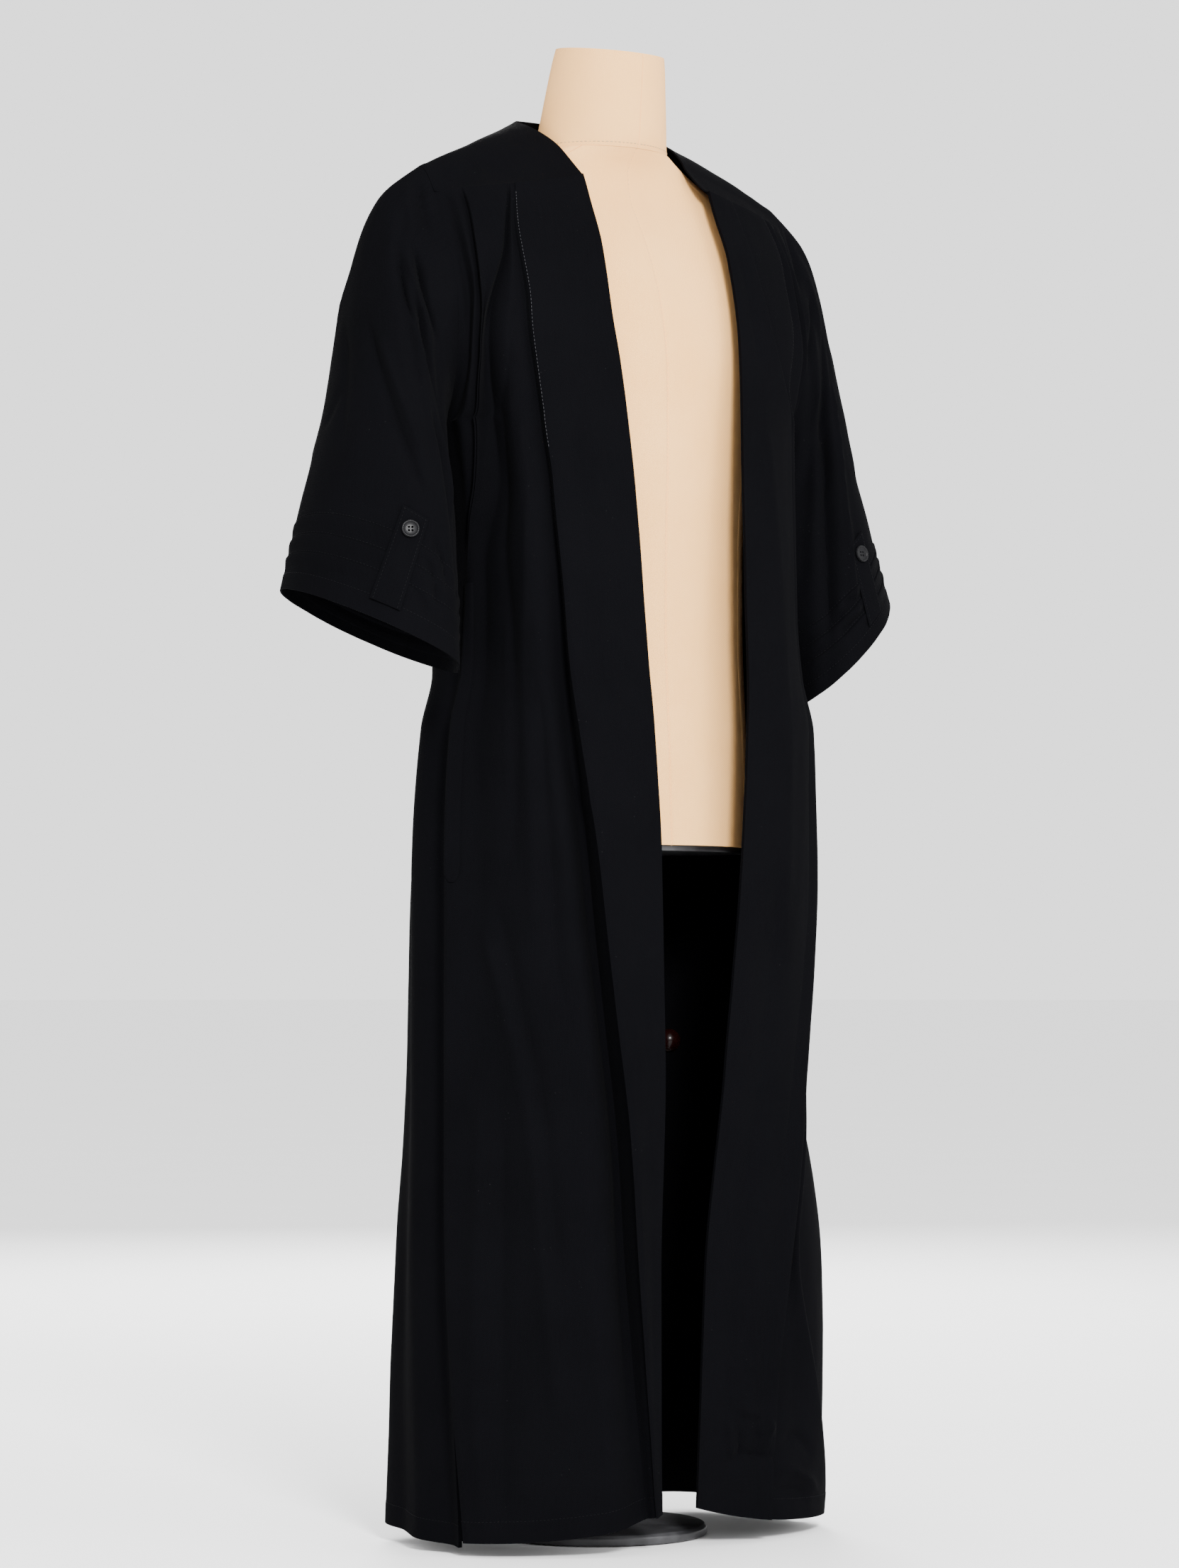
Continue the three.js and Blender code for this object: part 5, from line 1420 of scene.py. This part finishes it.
def stitched(name, lines, material, slot, pitch, length, radius):
    """Stitches along lines of points in millimetres, as one plain mesh."""
    points, edges = [], []
    for line in lines:
        start = len(points)
        points += [tuple(np.asarray(point) * MM) for point in line]
        edges += [(start + i, start + i + 1) for i in range(len(line) - 1)]
    path = bpy.data.meshes.new(name + "_path")
    path.from_pydata(points, edges, [])
    holder = linked(name + "_path", path)
    tree = bpy.data.node_groups.get("Running stitches") or stitch_tree()
    modifier = holder.modifiers.new("stitches", "NODES")
    modifier.node_group = tree
    values = {
        "Pitch": pitch * MM, "Stitch length": length * MM, "Thread radius": radius * MM,
        "Thread": material,
    }
    for item in tree.interface.items_tree:
        if item.item_type == "SOCKET" and item.in_out == "INPUT" and item.name in values:
            modifier[item.identifier] = values[item.name]
    shaped = evaluated_mesh(holder)
    if not shaped.polygons:
        raise RuntimeError(name + ": no stitches were made")
    shaped.polygons.foreach_set("use_smooth", [True] * len(shaped.polygons))
    bpy.data.objects.remove(holder, do_unlink=True)
    return finish_piece(linked(name, shaped), material, slot)


def across_piece(name, first, last, row, count, lift=0.12):
    """Line of points just off a piece's face, along one of its rows."""
    return [on_surface(name, column, row, lift)[0] for column in np.linspace(first, last, count)]


def down_piece(name, column, first, last, count, lift=0.12):
    """Line of points just off a piece's face, down one of its columns."""
    return [on_surface(name, column, row, lift)[0] for row in np.linspace(first, last, count)]


def make_stitches(made, pitch, length, radius):
    pale, black = [], []

    def hem_line(name, count):
        last = SURFACES[name][2][-1]
        return across_piece(name, 0.02, last - 0.02, HEM_STITCHED_AT, count)

    for side in (RIGHT, LEFT):
        name = side_name(side)
        band_line = down_piece("front_band_" + name, 0.985, 0.05, 1.03, 120)
        (pale if side < 0 else black).append(band_line)
        black.append(hem_line("front_" + name, 160))
        for at in (CUFF_HEM_AT,) + TUCKS_AT:
            black.append(across_piece("sleeve_" + name, -180, 179, at - 0.003, 160))
        for edge in (-0.8, 0.8):
            black.append(down_piece("tab_" + name, edge, 0.03, 0.98, 50))
        black.append(across_piece("tab_" + name, -0.8, 0.8, 0.03, 16))
    black.append(hem_line("back", 240))
    stitched("gown_stitches_pale", pale, made["pale_thread"], "cloth", pitch, length, radius)
    stitched("gown_stitches_black", black, made["black_thread"], "cloth", pitch, length, radius)
    front = [point + np.array([0, 0.2, 0]) for point in SURFACES["torso_grid"][:, 0]]
    ring = [point * np.array([1.004, 1.004, 1]) for point in SURFACES["neck_grid"][1]]
    lines = [front, ring + ring[:1]]
    stitched("form_stitches", lines, made["linen_thread"], "linen", *LINEN_STITCH)


# Operators

def length_property(name, about, default, low, high):
    return FloatProperty(
        name=name, description=about, default=default, min=low, max=high, unit="LENGTH"
    )


def colour_property(name, about, default):
    return FloatVectorProperty(
        name=name, description=about, default=default, subtype="COLOR", min=0, max=1
    )


class GownSizes(bpy.types.PropertyGroup):
    """Sizes and colours of the gown that a user may change."""

    cloth_thickness: length_property("Cloth", "Thickness of a panel", 0.0016, 0.0008, 0.003)
    band_thickness: length_property(
        "Band", "Thickness of the front bands and tabs", 0.0014, 0.0008, 0.003
    )
    stitch_pitch: length_property(
        "Stitch pitch", "From one stitch to the next", 0.0036, 0.002, 0.01
    )
    stitch_length: length_property("Stitch length", "Length of one stitch", 0.0026, 0.001, 0.008)
    thread_radius: length_property("Thread", "Radius of the sewing thread", 0.0003, 0.0002, 0.001)
    thread_spacing: length_property("Weave", "Spacing of the gown's threads", 0.0009, 0.0003, 0.003)
    linen_spacing: length_property(
        "Linen weave", "Spacing of the form's linen threads", 0.0012, 0.0003, 0.003
    )
    cloth_colour: colour_property("Cloth colour", "Black of the gown", (0.0016, 0.0016, 0.002))
    cloth_light: colour_property(
        "Worn colour", "Where the black has lifted a little", (0.0024, 0.0024, 0.003)
    )
    linen_colour: colour_property("Linen colour", "Cloth of the form", (0.76, 0.39, 0.125))
    linen_light: colour_property(
        "Linen light", "Paler threads of the form's cloth", (0.84, 0.47, 0.18)
    )


class Step:
    """What the steps share: each makes its pieces from the user's sizes and the finishes."""

    def execute(self, context):
        gown = context.scene.gown
        self.make(gown, materials(gown))
        return {"FINISHED"}


class GOWN_OT_dress_form(Step, bpy.types.Operator):
    """Make the limbless dress form's linen-covered torso and neck"""

    bl_idname = "gown.dress_form"
    bl_label = "Dress form"

    def make(self, gown, made):
        make_form(made)


class GOWN_OT_stand(Step, bpy.types.Operator):
    """Make the form's bottom plate, pole, height clamp and base"""

    bl_idname = "gown.stand"
    bl_label = "Stand"

    def make(self, gown, made):
        make_stand(made)


class GOWN_OT_yoke(Step, bpy.types.Operator):
    """Make the shoulder yoke"""

    bl_idname = "gown.yoke"
    bl_label = "Yoke"

    def make(self, gown, made):
        piece = make_yoke(gown.cloth_thickness / MM, made)


class GOWN_OT_back(Step, bpy.types.Operator):
    """Make the wide back panel, gathered into the yoke"""

    bl_idname = "gown.back"
    bl_label = "Back"

    def make(self, gown, made):
        piece = make_back(gown.cloth_thickness / MM, made)


class GOWN_OT_fronts(Step, bpy.types.Operator):
    """Make both front panels with their bands and pocket welts"""

    bl_idname = "gown.fronts"
    bl_label = "Fronts, bands and welts"

    def make(self, gown, made):
        for side in (RIGHT, LEFT):
            panel = make_front(side, gown.cloth_thickness / MM, made)
            band = make_band(side, gown.band_thickness / MM, made)
            welt = make_welt(side, made)


class GOWN_OT_sleeves(Step, bpy.types.Operator):
    """Make both tucked sleeves with their tabs"""

    bl_idname = "gown.sleeves"
    bl_label = "Sleeves and tabs"

    def make(self, gown, made):
        for side in (RIGHT, LEFT):
            sleeve = make_sleeve(side, gown.cloth_thickness / MM, made)
            tab = make_tab(side, gown.band_thickness / MM, made)


class GOWN_OT_buttons(Step, bpy.types.Operator):
    """Make the four-hole button of each tab"""

    bl_idname = "gown.buttons"
    bl_label = "Buttons"

    def make(self, gown, made):
        for side in (RIGHT, LEFT):
            make_button(side, made)


class GOWN_OT_stitches(Step, bpy.types.Operator):
    """Sew the topstitching of bands, hems, tucks, cuffs, tabs and form"""

    bl_idname = "gown.stitches"
    bl_label = "Stitches"

    def make(self, gown, made):
        sizes = gown.stitch_pitch, gown.stitch_length, gown.thread_radius
        make_stitches(made, *[size / MM for size in sizes])


class GOWN_OT_stage(Step, bpy.types.Operator):
    """Set the pale floor, the soft lights and the camera"""

    bl_idname = "gown.stage"
    bl_label = "Floor, lights and camera"

    def make(self, gown, made):
        points, faces = turned_points([(0, -1.0), (FLOOR_RADIUS, -1.0)], 96)
        floor = mesh_object("floor", points, faces)
        for polygon in floor.data.polygons:
            if polygon.normal.z < 0:
                polygon.flip()
        n, shader = new_material("Pale floor", Roughness=0.9)
        grain = n.noise(n.place(), 3.0, 2.0)
        n.set(shader, "Base Color", n.blend(grain, opaque([0.9] * 3), opaque([0.93] * 3)))
        floor.data.materials.append(bpy.data.materials["Pale floor"])

        world = bpy.data.worlds.new("Studio")
        world.use_nodes = True
        bpy.context.scene.world = world
        back = world.node_tree.nodes["Background"]
        back.inputs[0].default_value = opaque([1.0] * 3)
        back.inputs[1].default_value = SKY
        for name, place, size, power in LIGHTS:
            lamp = bpy.data.lights.new(name, "AREA")
            lamp.shape = "DISK"
            lamp.size = size
            lamp.energy = power
            light = linked(name, lamp)
            light.location = place
            toward = Vector((0, 0, LIT_HEIGHT)) - Vector(place)
            light.rotation_euler = toward.to_track_quat("-Z", "Y").to_euler()

        camera = bpy.data.cameras.new("camera")
        camera.lens = CAMERA["lens"]
        camera.clip_end = 200
        seat = linked("camera", camera)
        out = Vector(CAMERA["direction"])
        seat.location = out * CAMERA["distance"] + Vector((0, 0, CAMERA["eye"]))
        level = -out
        level.rotate(Matrix.Rotation(math.radians(CAMERA["yaw"]), 3, "Z"))
        pitch = math.radians(CAMERA["pitch"])
        aim = level * math.cos(pitch) + Vector((0, 0, math.sin(pitch)))
        seat.rotation_euler = aim.to_track_quat("-Z", "Y").to_euler()
        bpy.context.scene.camera = seat


STEPS = (
    GOWN_OT_dress_form, GOWN_OT_stand, GOWN_OT_yoke, GOWN_OT_back, GOWN_OT_fronts, GOWN_OT_sleeves,
    GOWN_OT_buttons, GOWN_OT_stitches, GOWN_OT_stage,
)


class GOWN_PT_panel(bpy.types.Panel):
    """Lists the steps that make the gown"""

    bl_label = "Barrister gown"
    bl_idname = "GOWN_PT_panel"
    bl_space_type = "VIEW_3D"
    bl_region_type = "UI"
    bl_category = "Gown"

    def draw(self, context):
        for name in GownSizes.__annotations__:
            self.layout.prop(context.scene.gown, name)
        for step in STEPS:
            self.layout.operator(step.bl_idname)


CLASSES = (GownSizes,) + STEPS + (GOWN_PT_panel,)


def register():
    for part in CLASSES:
        bpy.utils.register_class(part)
    bpy.types.Scene.gown = PointerProperty(type=GownSizes)


def unregister():
    del bpy.types.Scene.gown
    for part in reversed(CLASSES):
        bpy.utils.unregister_class(part)


def main():
    register()
    for step in STEPS:
        group, name = step.bl_idname.split(".")
        getattr(getattr(bpy.ops, group), name)()


if __name__ == "__main__":
    main()
